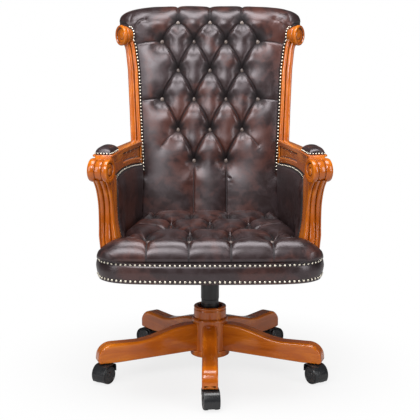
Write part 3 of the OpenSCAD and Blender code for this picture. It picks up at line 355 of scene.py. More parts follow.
def piece(name, shells, body, finish, replaces=(), sharp=None):
    """Joins the shells to one object, marks it, and lets it ride on its body and stand for its nodes."""
    points = np.vstack([s.points for s in shells]) * MM
    starts = np.cumsum([0] + [len(s.points) for s in shells[:-1]])
    faces = [(np.asarray(f) + k).tolist() for s, k in zip(shells, starts) for f in s.faces]
    mesh = bpy.data.meshes.new(name)
    mesh.from_pydata(points.tolist(), [], faces)
    mesh.polygons.foreach_set("use_smooth", np.ones(len(mesh.polygons), bool))
    hollow = mesh.attributes.new("hollow", "FLOAT", "POINT")
    hollow.data.foreach_set("value", np.concatenate([s.hollow for s in shells]).astype(np.float32))
    grain = mesh.attributes.new("grain", "FLOAT_VECTOR", "POINT")
    grain.data.foreach_set("vector", (np.vstack([s.grain for s in shells]) * MM).astype(np.float32).ravel())
    mesh.materials.append(finish)
    mesh.update()
    if sharp:
        mesh.set_sharp_from_angle(angle=math.radians(sharp))
    made = bpy.data.objects.new(name, mesh)
    bpy.context.scene.collection.objects.link(made)
    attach(made, body)
    if replaces:
        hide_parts(*replaces)


# ---------- finishes ----------

class Wire:
    """A value inside a finish: the operators add Math nodes."""

    def __init__(self, finish, socket):
        self.finish, self.socket = finish, socket

    def maths(self, operation, a, b=0.0):
        """The result of one Math node."""
        return self.finish.node("Math", {0: a, 1: b}, operation=operation)

    def __add__(self, other):
        return self.maths("ADD", self, other)

    def __rsub__(self, other):
        return self.maths("SUBTRACT", other, self)

    def __mul__(self, other):
        return self.maths("MULTIPLY", self, other)

    __radd__ = __add__
    __rmul__ = __mul__


class Finish:
    """A procedural material, or a world: node adds one node, its settings first, then its sockets, and gives
    an output."""

    def __init__(self, name, world=None):
        self.made = world or bpy.data.materials.new(name)
        self.made.use_nodes = True
        self.tree = self.made.node_tree
        self.tree.nodes.clear()

    def node(self, kind, sockets=None, output=0, stops=None, **settings):
        """Adds a node, wires or sets its sockets, and gives one of its outputs."""
        made = self.tree.nodes.new("ShaderNode" + kind)
        for key, value in settings.items():
            setattr(made, key, value)
        if stops:
            ramp = made.color_ramp
            while len(ramp.elements) < len(stops):
                ramp.elements.new(0.5)
            for element, (place, colour) in zip(ramp.elements, stops):
                element.position, element.color = place, colour
        for key, value in (sockets or {}).items():
            if isinstance(value, Wire):
                self.tree.links.new(value.socket, made.inputs[key])
            else:
                made.inputs[key].default_value = value
        return Wire(self, made.outputs[output])

    def place(self, source="Object"):
        """The piece's own coordinates, or the ones that its grain attribute carries."""
        if source == "grain":
            return self.node("Attribute", output="Vector", attribute_name="grain")
        return self.node("TexCoord", output="Object")

    def scaled(self, place, scale):
        """The coordinates times a scale for each axis: a large one makes the pattern finer that way."""
        return self.node("Mapping", {"Vector": place, "Scale": scale})

    def noise(self, place, scale, detail=3.0, rough=0.5, distortion=0.0):
        """Soft random patches, about 0.3 to 0.7."""
        return self.node("TexNoise", {"Vector": place, "Scale": scale, "Detail": detail,
                                      "Roughness": rough, "Distortion": distortion})

    def between(self, value, low, high, start=0.0, end=1.0):
        """Maps low to high onto start to end, smoothly and held at both ends."""
        return self.node("MapRange", {"Value": value, "From Min": low, "From Max": high,
                                      "To Min": start, "To Max": end}, interpolation_type="SMOOTHSTEP")

    def mixed(self, share, a, b):
        """a (1 - share) + b share, for colours."""
        return self.node("Mix", {0: share, 6: a, 7: b}, output=2, data_type="RGBA")

    def ramp(self, value, stops):
        """A colour from a row of places and colours."""
        return self.node("ValToRGB", {"Fac": value}, stops=stops)

    def bump(self, height, distance, strength):
        """A normal tilted by the slope of a height, whose full range is distance metres."""
        return self.node("Bump", {"Height": height, "Distance": distance, "Strength": strength})

    def done(self, **sockets):
        """The surface shader: sockets are named with underscores for spaces."""
        shader = self.node("BsdfPrincipled", {k.replace("_", " "): v for k, v in sockets.items()})
        return self.shown(shader)

    def shown(self, shader, output="OutputMaterial"):
        """Ends the material with a surface shader."""
        self.tree.links.new(shader.socket, self.tree.nodes.new("ShaderNode" + output).inputs["Surface"])
        return self.made


def shade(colour, amount):
    """A colour made darker or lighter by a factor."""
    return tuple(c * amount for c in colour[:3]) + (1.0,)


def make_wood(name, colours, source="grain"):
    """Glossy stained wood: long streaks and fine fibres along the grain, darker glaze and painted shade in the hollows,
    and a painted highlight, partly edge wear, along raised edges.
    """
    f = Finish(name)
    place = f.place(source)
    broad = f.noise(f.scaled(place, (5, 38, 38)), 1.0, 4, 0.55, 0.6)
    fibres = f.noise(f.scaled(place, (22, 420, 420)), 1.0, 3, 0.6)
    cloud = f.noise(f.scaled(place, (7, 9, 9)), 1.0, 2)
    light, warm, deep = tuple(colours.wood_light), tuple(colours.wood_warm), tuple(colours.wood_deep)
    stain = f.ramp(broad * 0.62 + cloud * 0.38, [(0.34, shade(warm, 0.8)), (0.47, warm), (0.66, light)])
    pores = f.between(fibres, 0.56, 0.74)
    stain = f.mixed(pores * 0.10, stain, shade(deep, 2.5))
    hollow = f.node("Attribute", output="Fac", attribute_name="hollow")
    # Painted shade with the glaze: the hollow mark darkens the grooves towards the deep stain.
    stain = f.mixed(f.between(hollow, 0.02, 0.4, 0.0, 0.9), stain, deep)
    # Painted highlight, partly edge wear: raised edges, where the hollow mark is negative, are lightened.
    worn = f.between(hollow, -0.6, -0.08, 0.32, 0.0)
    stain = f.mixed(worn, stain, shade(light, 1.22))
    normal = f.bump(fibres, 0.00012, 0.08)
    return f.done(Base_Color=stain, Roughness=f.between(broad, 0.3, 0.7, 0.2, 0.3) + pores * 0.06,
                  Normal=normal, Coat_Weight=0.55, Coat_Roughness=0.09, IOR=1.33)


def make_leather(name, colours, rub=1.0, dark=None):
    """Antiqued leather: dark brown rubbed to red-brown, pebbled, with painted shade and a duller gloss in the folds."""
    f = Finish(name)
    place = f.place()
    dark = dark or tuple(colours.leather_dark)
    red, grey = tuple(colours.leather_rubbed), tuple(colours.leather_bloom)
    cloud = f.noise(place, 6.5, 4, 0.55, 0.6)
    mottle = f.noise(place, 34.0, 5, 0.62, 0.4)
    cells = f.node("TexVoronoi", {"Vector": place, "Scale": 620.0, "Smoothness": 0.6}, output="Distance",
                   feature="SMOOTH_F1")
    creasing = f.noise(place, 210.0, 3, 0.6, 0.8)
    hollow = f.node("Attribute", output="Fac", attribute_name="hollow")
    tone = f.mixed(f.between(mottle, 0.42, 0.62, 0.0, 0.6), dark, grey)
    tone = f.mixed(f.between(cloud * 0.7 + mottle * 0.3, 0.47, 0.62, 0.0, 0.9 * rub), tone, red)
    # Painted shade: the hollow mark darkens the folds, pockets, nail lines and seams.
    tone = f.mixed(f.between(hollow, 0.05, 1.0, 0.0, 0.95), tone, shade(dark, 0.15))
    tone = f.mixed(f.between(cells, 0.2, 0.75, 0.0, 0.18), tone, shade(dark, 0.5))
    height = (1 - cells) * 0.6 + creasing * 0.4
    rough = f.between(mottle, 0.3, 0.7, 0.30, 0.39) + f.between(hollow, 0.2, 0.9, 0.0, 0.4)
    return f.done(Base_Color=tone, Roughness=rough, Normal=f.bump(height, 0.00025, 0.22),
                  Specular_IOR_Level=0.6, Specular_Tint=(1.0, 0.93, 0.98, 1.0))


def make_plastic(name, colour, rough, texture=1.0):
    """Moulded plastic: fine spark texture, slightly uneven gloss and a little dust in the grain."""
    f = Finish(name)
    place = f.place()
    pits = f.noise(place, 900.0, 2, 0.7)
    flow = f.noise(place, 26.0, 3, 0.5)
    tone = f.mixed(f.between(pits, 0.55, 0.8, 0.0, 0.35), colour, shade(colour, 2.2))
    return f.done(Base_Color=tone, Roughness=f.between(flow, 0.3, 0.7, rough - 0.05, rough + 0.08),
                  Normal=f.bump(pits, 0.0002, 0.25 * texture), IOR=1.5)


def make_metal(name, colour, rough, drawn=False):
    """Metal: a fine drawn or cast texture, its colour darker where the hollow mark is set."""
    f = Finish(name)
    place = f.place()
    fine = f.noise(f.scaled(place, (60, 60, 900) if drawn else (300, 300, 300)), 1.0, 3, 0.6)
    cloud = f.noise(place, 45.0, 3, 0.55)
    hollow = f.node("Attribute", output="Fac", attribute_name="hollow")
    tone = f.mixed(f.between(cloud, 0.35, 0.7, 0.0, 0.45), colour, shade(colour, 0.6))
    tone = f.mixed(f.between(hollow, 0.02, 0.3, 0.0, 0.8), tone, shade(colour, 0.3))
    return f.done(Base_Color=tone, Metallic=1.0, Normal=f.bump(fine, 0.00012, 0.3),
                  Roughness=f.between(fine, 0.3, 0.7, rough - 0.06, rough + 0.1))


# ---------- base ----------

def leg_rings(stations):
    """Rounded boxes along the leg: an ogee top line, a rising underside, a round nose and eased edges."""
    x = stations
    span = LEG_END - HUB_R
    share = clamp((x - HUB_R) / span)
    k = clamp((share - 0.03) / 0.59)
    top = LEG_Z + LEG_T + (LEG_ROOT_T - LEG_T) * (0.5 + 0.5 * np.cos(math.pi * k))
    nose, heel, corner = (r - r * brow(LEG_END - x, r) for r in (LEG_NOSE, 9.0, 7.0))
    top, low, half = top - nose, LEG_Z + LEG_RISE * clamp(1 - share / 0.8) + heel, LEG_W / 2 - corner
    upper, lower = np.minimum(8.0, half - 2), np.minimum(4.0, half - 2)
    a = np.linspace(0, math.pi / 2, 8)[None]
    u, l, h = upper[:, None], lower[:, None], half[:, None]
    t, b = top[:, None], low[:, None]
    flat = np.linspace(0, 1, 6)[None, 1:-1]
    rise = (t - u - b - l) * flat
    y = np.concatenate([h - l + l * np.sin(a), h + 0 * flat, h - u + u * np.cos(a), (h - u) * (1 - 2 * flat),
                        -(h - u) - u * np.sin(a), -h + 0 * flat, -(h - l) - l * np.cos(a),
                        (h - l) * (2 * flat - 1)], 1)
    z = np.concatenate([b + l - l * np.cos(a), b + l + rise, t - u + u * np.sin(a), t + 0 * flat,
                        t - u + u * np.cos(a), t - u - rise, b + l - l * np.sin(a), b + 0 * flat], 1)
    return np.stack([np.repeat(x[:, None], y.shape[1], 1), y, z], -1)


def leg_shell(number):
    """One leg, from inside the hub to its nose, turned to its place."""
    inner = np.linspace(HUB_R - 8, LEG_END - LEG_NOSE, 60)[:-1]
    outer = LEG_END - LEG_NOSE + LEG_NOSE * np.sin(np.linspace(0, math.pi / 2, 24))
    rings = leg_rings(np.concatenate([inner, outer]))
    grain = rings + np.array([number * 613.0, number * 97.0, 0])
    hollow = hollowness(rings, 2, False) * ease((LEG_END - 10 - rings[..., 0]) / 12)
    return lofted(rings, grain=grain, hollow=hollow).moved(turn("z", -90 + 72 * number))


def hub_profile():
    """The turned hub: a foot disc, a straight barrel, and an eased shoulder under the collar."""
    r, foot = HUB_R, HUB_R + 6
    return rounded([[20, HUB_BOTTOM], [foot, HUB_BOTTOM], [foot, 78.5], [r, 79.5], [r, HUB_TOP],
                    [20, HUB_TOP]], np.array([0.5, 3, 2.2, 0.8, 5, 0.5]))


def collar_profile():
    """The turned collar: a straight ring with rounded lips round a recess."""
    z = HUB_TOP
    return rounded([[25.2, z + 0.3], [50.2, z + 0.3], [50.2, z + 2.5], [51.4, z + 4], [51.4, z + 27], [50, z + 30],
                    [51.4, z + 33], [51.4, COLLAR_TOP - 2], [46, COLLAR_TOP], [38.5, COLLAR_TOP - 2],
                    [38.5, z + 8], [25.2, z + 8]],
                   np.array([0.4, 1, 1, 1.5, 4, 1, 2, 5, 4, 4, 1, 0.4]))


def at_caster(shell, number):
    """Moves a caster part, modelled round its stem on Z, to its leg."""
    place = turn("z", -90 + 72 * number)
    return shell.moved(turn("z", CASTER_TURNS[number])).moved(None, (STEM_R, 0, 0)).moved(place)


def caster_hood():
    """The hood: a rounded strap carried over the wheels and down behind the stem, and the web between them."""
    mid, thick = HOOD_R - HOOD_T / 2, HOOD_T / 2
    a = np.linspace(-0.655, math.pi / 2, 26)
    arc = np.stack([CASTER_TRAIL + mid * np.cos(a), WHEEL_R + mid * np.sin(a)], 1)
    back = CASTER_TRAIL - mid
    corner = np.stack([back + 9 - 9 * np.sin(np.linspace(0, math.pi / 2, 8)),
                       WHEEL_R + mid - 9 + 9 * np.cos(np.linspace(0, math.pi / 2, 8))], 1)
    path = np.vstack([arc, [[CASTER_TRAIL - 8, WHEEL_R + mid]], corner, [[back, 48.0]], [[back, 36.5]]])
    path = resample(path, 56)
    ahead = unit(np.gradient(path, axis=0))
    out = np.stack([ahead[:, 1], -ahead[:, 0]], 1)
    section = rounded([[-CASTER_HALF_W, -thick], [CASTER_HALF_W, -thick], [CASTER_HALF_W, thick],
                       [-CASTER_HALF_W, thick]], np.array([1.0, 1.0, 2.6, 2.6]), 6)
    swell = 1 - 0.05 * np.linspace(1, 0, len(path))[:, None] ** 2
    across, lift = section[None, :, 0] * swell, section[None, :, 1] + 0 * swell
    x = path[:, :1] + out[:, :1] * lift
    z = path[:, 1:] + out[:, 1:] * lift
    strap = lofted(np.stack([x, across, z], -1), reach=1)
    a = np.linspace(0.1, math.pi / 2, 14)
    r = HOOD_R - 0.6
    web = np.vstack([np.stack([CASTER_TRAIL + r * np.cos(a), WHEEL_R + r * np.sin(a)], 1),
                     [[CASTER_TRAIL - r, WHEEL_R + r], [CASTER_TRAIL - r, 17.2], [CASTER_TRAIL + 29, 17.2]]])
    return [strap, extruded(web, WEB_T / 2, 0.8)]


def caster_wheel(side):
    """A turned wheel: a round tread, a stepped rim, a dished disc and a hub cap."""
    w, r = WHEEL_W, WHEEL_R
    p = rounded([[0.3, w - 2.2], [4.06, w - 2.2], [4.06, 0], [r - 3, 0], [r, 3], [r, w - 4], [r - 2.8, w], [r - 5, w],
                 [r - 6, w - 2.2], [r - 7, w - 1.4], [12, w - 2.4], [11, w - 2.4], [10, w - 0.6], [6.5, w - 0.3],
                 [5.5, w - 0.9], [0.3, w - 0.6]],
                np.array([0.1, 0.3, 0.3, 2, 2, 2.5, 1.6, 0.8, 0.8, 0.8, 1, 0.6, 0.8, 0.5, 0.5, 0.1]), 4)
    start = side * (WEB_T / 2 + 0.8)
    return turned(p, 72, 1).moved(turn("x", -90 * side)).moved(None, (CASTER_TRAIL, start, WHEEL_R))


def cover_profile():
    """The black sleeve: two stepped rings at its foot, a plain tube, and a flange under the mechanism."""
    return rounded([[26.2, 196], [28.8, 196], [28.8, 226], [27.6, 228], [27.6, 240], [28.8, 242], [28.8, 320.6],
                    [26.2, 320.6]], np.array([0.4, 0.8, 0.8, 0.8, 0.8, 0.8, 0.8, 0.4]))


RING_STEPS = 128


class CHAIR_OT_base(bpy.types.Operator):
    """Makes the five carved legs, the turned hub and its collar, and the column's sleeve"""
    bl_idname = "chair.base"
    bl_label = "Legs and hub"

    def execute(self, context):
        looks = finishes(context)
        for number, name in enumerate(CASTERS):
            piece(f"leg_{name}", [leg_shell(number)], "base", looks["wood"],
                  [f"base_leg_{name}"], sharp=38)
        for name, profile, body, look, slot, node in (
                ("hub", hub_profile(), "base", "wood", "wood_base", "base_hub"),
                ("collar", collar_profile(), "base", "wood", "wood_base", "hub_collar"),
                ("column_sleeve", cover_profile(), "column", "plastic", "black_plastic", "column_cover")):
            piece(name, [turned(profile, RING_STEPS, 1, ring=True)], body, looks[look], [node], sharp=38)
        return {"FINISHED"}


class CHAIR_OT_casters(bpy.types.Operator):
    """Makes the twin wheels and the hoods of the five casters"""
    bl_idname = "chair.casters"
    bl_label = "Casters"

    def execute(self, context):
        looks = finishes(context)
        for number, name in enumerate(CASTERS):
            body = f"caster_{name}"
            piece(f"{body}_hood", [at_caster(s, number) for s in caster_hood()], body, looks["caster"],
                  [f"{body}_housing"], sharp=40)
            for side, sign in SIDES.items():
                piece(f"{body}_disc_{side}", [at_caster(caster_wheel(sign), number)], f"{body}_wheel_{side}",
                      looks["tread"], [f"{body}_wheel_{side}"], sharp=40)
        return {"FINISHED"}


# ---------- tufting ----------

def arc_line(upper, lower, bow):
    """The line of a pleat: a straight chord plus a bow, so that it leaves its upper button sideways."""
    a, b = np.array(upper, float), np.array(lower, float)
    run = b - a
    aside = np.array([math.copysign(-run[1], run[0]), abs(run[0])])
    t = np.linspace(0, 1, 11)[:, None]
    return a + run * t + bow * aside * 4 * t * (1 - t)


def loose_pleat(points, at_start, at_end):
    """A pleat through set points, with its share of the full depth at both ends."""
    return np.array(points, float), at_start, at_end


def nearest(u, v, line):
    """Distance from each point to a line of short straight steps, and how far along it that is, 0 to 1."""
    best, along = np.full(u.shape, 1e9), np.zeros(u.shape)
    for k, (a, b) in enumerate(zip(line[:-1], line[1:])):
        dx, dy = b - a
        t = clamp(((u - a[0]) * dx + (v - a[1]) * dy) / (dx * dx + dy * dy))
        d = np.hypot(u - a[0] - t * dx, v - a[1] - t * dy)
        near = d < best
        best = np.where(near, d, best)
        along = np.where(near, (k + t) / (len(line) - 1), along)
    return best, along


CREASE_DEPTH = 3.4
CREASE_WIDTH = 2.4


def tufted(u, v, buttons, pleats, depth, reach, seed, middle=0.2, line_width=2.0):
    """How deep the stuffing is drawn in: cube root of the summed cubes of a pit at each button and a narrow
    valley along each pleat, deepest at its buttons. Fine gathers run out from each button. Gives a mark of
    painted shade too: dark in the folds and in the pockets, most of all just above each button, where shade
    falls under the tuft."""
    shape = u.shape
    u, v = u.ravel(), v.ravel()
    total, groove, mark = np.zeros(u.size), np.zeros(u.size), np.zeros(u.size)
    for line, at_start, at_end in pleats:
        low, high = line.min(0) - 4 * reach, line.max(0) + 4 * reach
        near = np.flatnonzero((u > low[0]) & (u < high[0]) & (v > low[1]) & (v < high[1]))
        d, t = nearest(u[near], v[near], line)
        hold = at_start * (1 - t) ** 3 + at_end * t ** 3 + middle * min(1, at_start + at_end) * (4 * t * (1 - t)) ** 0.8
        fade = ease(t / 0.12 + (at_start > 0.3)) * ease((1 - t) / 0.12 + (at_end > 0.3))
        wide = reach * (0.55 + 0.45 * (2 * t - 1) ** 2)
        total[near] += (depth * hold * fade * np.exp(-(d / wide))) ** 3
        crease = fade * min(1.0, 2 * max(at_start, at_end))
        groove[near] = np.maximum(groove[near], CREASE_DEPTH * crease * np.exp(-(d / CREASE_WIDTH)))
        # Painted shade along each pleat's fold line.
        mark[near] = np.maximum(mark[near], crease * 0.98 * bell(d, line_width))
    rng = np.random.default_rng(seed)
    for x, y in buttons:
        phase, lines = rng.uniform(0, 2 * math.pi), rng.integers(7, 10)
        r, a = np.hypot(u - x, v - y), np.arctan2(v - y, u - x)
        total += (depth * np.exp(-(r / (0.8 * reach + 12)) ** 1.5)) ** 3
        gathers = 0.5 + 0.5 * np.cos(lines * a + phase + 1.3 * np.sin(2 * a + phase))
        groove += 0.4 * gathers ** 2 * bell(r - 20, 9)
        # Painted shadow: a dark pocket set above each button, where the tuft overhangs, and lighter painted shade along
        # the gathers.
        shade_above_button = np.hypot(u - x, (v - y - 11) * 0.8)
        mark = np.maximum(mark, 0.98 * np.exp(-(shade_above_button / 24) ** 2.2) + 0.3 * gathers ** 2 * bell(r - 24, 10))
    return (np.cbrt(total) + groove).reshape(shape), np.clip(mark, 0, 1).reshape(shape)


def button_shell(radius=7.6):
    """A leather-covered button: a low dome over a short skirt, its middle on the origin and facing +Z."""
    a = np.linspace(0, math.pi / 2, 9)[::-1]
    dome = np.stack([radius * np.sin(a), 2.0 + 4.4 * np.cos(a)], 1)
    return turned(np.vstack([[[radius * 0.7, -5.0], [radius, -3.0], [radius, 1.0]], dome[:-1], [[0.4, 6.42]]]), 24)


def facing(direction):
    """The turn that takes +Z to a direction: its third column is the direction itself."""
    z = unit(np.asarray(direction, float))
    x = unit(np.cross([0.0, 1.0, 0.1], z))
    return np.stack([x, np.cross(z, x), z], 1)


# ---------- padding by cloth ----------

CLOTH_PRESSURE = 5.0
CLOTH_FRAMES = 18
CLOTH_CAP = 6.0
CLOTH_STIFFNESS = 12.0


def inflated(points, faces, held):
    """Blows a closed form up as cloth: held points keep their places, the rest moves up to the cap."""
    mesh = bpy.data.meshes.new("padding")
    mesh.from_pydata((points * MM).tolist(), [], [list(map(int, f)) for f in faces])
    pad = bpy.data.objects.new("padding", mesh)
    bpy.context.scene.collection.objects.link(pad)
    group = pad.vertex_groups.new(name="held")
    steps = np.round(held, 1)
    for weight in np.unique(steps[steps > 0]):
        group.add(np.flatnonzero(steps == weight).tolist(), float(weight), "REPLACE")
    cloth = pad.modifiers.new("Cloth", "CLOTH")
    settings = cloth.settings
    settings.quality = 6
    settings.mass = 0.3
    settings.tension_stiffness = settings.compression_stiffness = CLOTH_STIFFNESS
    settings.shear_stiffness = 4.0
    settings.bending_stiffness = 0.6
    settings.use_pressure = True
    settings.uniform_pressure_force = CLOTH_PRESSURE
    settings.vertex_group_mass = "held"
    settings.pin_stiffness = 1.0
    settings.effector_weights.gravity = 0
    cloth.point_cache.frame_end = CLOTH_FRAMES
    scene = bpy.context.scene
    for number in range(1, CLOTH_FRAMES + 1):
        scene.frame_set(number)
    done = pad.evaluated_get(bpy.context.evaluated_depsgraph_get())
    moved = np.zeros(len(points) * 3, np.float32)
    done.data.vertices.foreach_get("co", moved)
    bpy.data.objects.remove(pad)
    bpy.data.meshes.remove(mesh)
    scene.frame_set(1)
    step = moved.reshape(-1, 3) / MM - points
    size = np.linalg.norm(step, axis=1, keepdims=True)
    return points + step * np.minimum(1, CLOTH_CAP / np.maximum(size, 1e-6))


def finer(coarse, rows, cols):
    """Spreads a grid of moves over a finer grid: Catmull-Rom weights along rows, then along columns."""
    def weights(count, wanted):
        at = np.linspace(0, count - 1, wanted)
        k = np.clip(np.floor(at).astype(int), 0, count - 2)
        t = at - k
        m = np.zeros((wanted, count))
        for shift, w in ((-1, -0.5 * t + t * t - 0.5 * t ** 3), (0, 1 - 2.5 * t * t + 1.5 * t ** 3),
                         (1, 0.5 * t + 2 * t * t - 1.5 * t ** 3), (2, -0.5 * t * t + 0.5 * t ** 3)):
            np.add.at(m, (np.arange(wanted), np.clip(k + shift, 0, count - 1)), w)
        return m
    n, m = coarse.shape[:2]
    return np.einsum("ij,jkc,lk->ilc", weights(n, rows), coarse, weights(m, cols))


def cloth_moves(shell, front, mark, room):
    """How the front's grid moves when the whole closed form is blown up as cloth: it is held behind, in its
    creases, and towards its edges, where room falls to 0."""
    held = np.ones(len(shell.points))
    held[front.ravel()] = clamp(1.6 * mark + 1 - room).ravel()
    return (inflated(shell.points, shell.faces, held) - shell.points)[front]


# ---------- seat ----------

def seat_outline(outward, count):
    """The seat band's line in plan, moved outward: a smooth curve through the frame's own points."""
    w, v, f, r = SEAT_HALF + outward, SEAT_REAR_HALF + outward, -SEAT_FRONT - outward, SEAT_REAR + outward
    half = [[0, f], [w * 0.45, f + 3], [w * 0.7, f + 10], [w * 0.85, f + 26], [w * 0.95, f + 56], [w * 0.99, f + 92],
            [w, f + 135], [w * 0.6 + v * 0.4, f + (r - f) * 0.42], [w * 0.25 + v * 0.75, f + (r - f) * 0.75],
            [v, r - 34], [v - 10, r - 9], [v - 34, r], [v * 0.5, r]]
    other = [[-x, y] for x, y in half[:0:-1]]
    return curve(half + [[0, r]] + other, count, closed=True)


def outline_normals(line):
    """The outward directions of a closed line that runs anticlockwise: its tangents turned by a quarter."""
    ahead = unit(np.roll(line, -1, 0) - np.roll(line, 1, 0))
    return np.stack([ahead[:, 1], -ahead[:, 0]], 1)


def seat_half_at(y):
    """Half width of the T-shaped cushion: rounded front corners, a step at the arm posts, then it swells out
    to the arm panels behind the posts and tapers to the back."""
    front = CUSHION_HALF - CUSHION_CORNER * (1 - brow(y - CUSHION_FRONT, CUSHION_CORNER))
    neck = NECK_HALF + 13 * ease((y + 192) / 34)
    neck = neck + (NECK_REAR_HALF - NECK_HALF - 13) * clamp((y + 158) / (CUSHION_REAR + 158))
    return front + (neck - front) * ease((y - CUSHION_STEP + 5) / 6)


def seat_buttons():
    """Places of the eleven buttons in plan: rows of four, three and four, half a pitch apart."""
    rows = ((-1.5, -0.5, 0.5, 1.5), (-1, 0, 1), (-1.5, -0.5, 0.5, 1.5))
    return [(x * SEAT_PITCH, y) for y, xs in zip(SEAT_ROWS, rows) for x in xs]


def seat_pleats(buttons):
    """Pleats from each button to its neighbours in the next row, out to the front and rear edges, and to the
    arms. Each has its line and its share of the full depth at both ends."""
    lines = [(arc_line(b, a, 0.19), 0.8, 0.9) for a in buttons for b in buttons
             if 0 < b[1] - a[1] < 170 and abs(a[0] - b[0]) < 0.75 * SEAT_PITCH]
    for x in (-1.5, -0.5, 0.5, 1.5):
        x *= SEAT_PITCH
        lines.append(loose_pleat([[x, SEAT_ROWS[0]], [x * 1.01, -305], [x * 1.02, CUSHION_FRONT - 6]], 0.8, 0.34))
        lines.append(loose_pleat([[x, SEAT_ROWS[2]], [x * 0.99, 85], [x * 0.98, CUSHION_REAR + 6]], 0.8, 0.35))
    for s in (-1, 1):
        corner, middle, rear = ((s * k * SEAT_PITCH, y) for k, y in zip((1.5, 1, 1.5), SEAT_ROWS))
        lines.append((arc_line((s * 256, -190), corner, 0.12), 0.12, 0.8))
        lines.append((arc_line((s * 2.05 * SEAT_PITCH, SEAT_ROWS[1] + 62), middle, 0.06), 0.1, 0.6))
        lines.append((arc_line(rear, (s * 2.1 * SEAT_PITCH, SEAT_ROWS[1] + 74), 0.05), 0.6, 0.1))
    return lines


def bowed(x, y):
    """Y with the cushion's front edge bowed: its sides lie further back than its middle."""
    return y + CUSHION_BOW * (x / CUSHION_HALF) ** 2 * clamp(-y / SEAT_FRONT)


def seat_surface(rows, cols):
    """Points (x, y, z) of the cushion's top over a grid: a crown times quarter-ellipse brows, less the tufts."""
    v = spread(rows, 0.86)[:, None] * 0.5 + 0.5
    y = CUSHION_FRONT + (CUSHION_REAR - CUSHION_FRONT) * v
    half = seat_half_at(y)
    x = half * spread(cols, 0.9)[None, :]
    y = y + 0 * x
    wide = 1 - ease((y - CUSHION_STEP + 5) / 6)
    side = brow(half - abs(x), 34 - 26 * wide)
    ends = brow(y - CUSHION_FRONT, 50) * brow(CUSHION_REAR - y, 22)
    lug = np.where((abs(x) > NECK_HALF - 8) & (y < CUSHION_STEP + 4), brow(CUSHION_STEP + 5 - y, 14), 1)
    fall = 0.24 + 0.76 * np.sin(math.pi / 2 * clamp((CUSHION_HALF - abs(x)) / 80))
    crown = CUSHION_H * (0.95 + 0.05 * np.cos(math.pi / 2 * clamp(abs(x) / CUSHION_HALF))) * (1 + (fall - 1) * wide)
    buttons = seat_buttons()
    drawn, mark = tufted(x, y, buttons, seat_pleats(buttons), depth=30.0, reach=18.0, seed=5, middle=0.4,
                         line_width=3.4)
    keep = 0.35 + 0.65 * side * brow(y - CUSHION_FRONT, 60)
    height = (crown + 1.3 * ripple(x, y, 3, 150) - drawn * keep) * side * ends * lug
    room = brow(half - abs(x), 30) * brow(y - CUSHION_FRONT, 30) * brow(CUSHION_REAR - y, 30)
    return np.stack([x, bowed(x, y), SEAT_TOP + 1.5 + np.maximum(height, 0)], -1), mark, room


def seat_shell(rows=250, cols=300, coarse_rows=84, coarse_cols=100):
    """The cushion: its surface, plus the moves of a coarser one blown up as cloth."""
    rough, mark, room = seat_surface(coarse_rows, coarse_cols)
    front = np.arange(coarse_rows * coarse_cols).reshape(coarse_rows, coarse_cols)
    moves = cloth_moves(flat_bottomed(rough, mark), front, mark, room)
    top, mark, _ = seat_surface(rows, cols)
    return flat_bottomed(top + finer(moves, rows, cols), mark)


def flat_bottomed(top, mark):
    """Shuts a grid's rim with strips from its left edge to its right edge, level with the rim."""
    n, m = top.shape[:2]
    faces = list(grid_faces(n, m))
    left, right = np.arange(n) * m, np.arange(n) * m + m - 1
    faces += [np.array([left[k], left[k + 1], right[k + 1], right[k]]) for k in range(1, n - 2)]
    faces.append(np.concatenate([np.arange(m)[::-1], [left[1], right[1]]]))
    faces.append(np.concatenate([(n - 1) * m + np.arange(m), [right[n - 2], left[n - 2]]]))
    return Shell(top, faces, mark).outward()


def band_shell(count=760):
    """The padded band: a bulging section, pinched at its two nail rows, carried round the seat's line."""
    section = curve([[-7.5, 1], [-1.5, 0.6], [0.6, 3.2], [0.2, 7.5], [-0.5, 10.5], [2.2, 17], [4.6, 34], [2.4, 50],
                     [-0.4, 56.5], [0.2, 60], [0.3, 66], [-1.8, 69.6], [-7.5, 69.6]], 46)
    line = seat_outline(0.0, count)
    out = outline_normals(line)
    run = circle(count)
    wave = 0.5 * ripple(run[:, None] * 360, section[None, :, 1] * 2.2, 11, 120)
    offset = section[None, :, 0] + wave * bell(section[None, :, 1] - 34, 24)
    rings = np.stack([line[:, :1] + out[:, :1] * offset, line[:, 1:] + out[:, 1:] * offset,
                      SEAT_Z + section[None, :, 1] + 0 * offset], -1)
    # Painted shade along the two pinched nail rows, carried by the hollow mark.
    pinch_shade = 0.9 * bell(section[:, 1] - 9, 3.6) + 0.9 * bell(section[:, 1] - 58, 3.6)
    return lofted(rings, wrap_rows=True, hollow=np.repeat(pinch_shade[None], count, 0))


# ---------- back ----------

def back_half_at(s):
    """Half width of the back at a height s up it: the flare's curve, then the wider roll above the uprights."""
    wide = BACK_HALF + BACK_FLARE * np.interp(s / ROLL_S, FLARE[:, 0], FLARE[:, 1]) + 7 * (1 - ease((s - 150) / 25))
    a = clamp((s - ROLL_S) / ROLL_R, 0, math.pi / 2)
    over = BACK_HALF + BACK_FLARE + (ROLL_HALF - BACK_HALF - BACK_FLARE) * np.sin(np.minimum(math.pi / 2, 1.6 * a))
    return np.where(s <= ROLL_S, wide, over)


def roll_radius(x):
    """The roll's radius across its width: R (1 - (x/half)^3.6)^(1/3.2), so that its ends are round."""
    return ROLL_R * clamp(1 - clamp(abs(x) / (ROLL_HALF + 0.3)) ** 3.6, 1e-5) ** (1 / 3.2)


def back_buttons():
    """Places of the nineteen buttons: X, and height up the back."""
    return [(k * BACK_PITCH, s) for s, reach in zip(BACK_ROWS, BACK_REACH) for k in np.arange(-reach, reach + 1)]


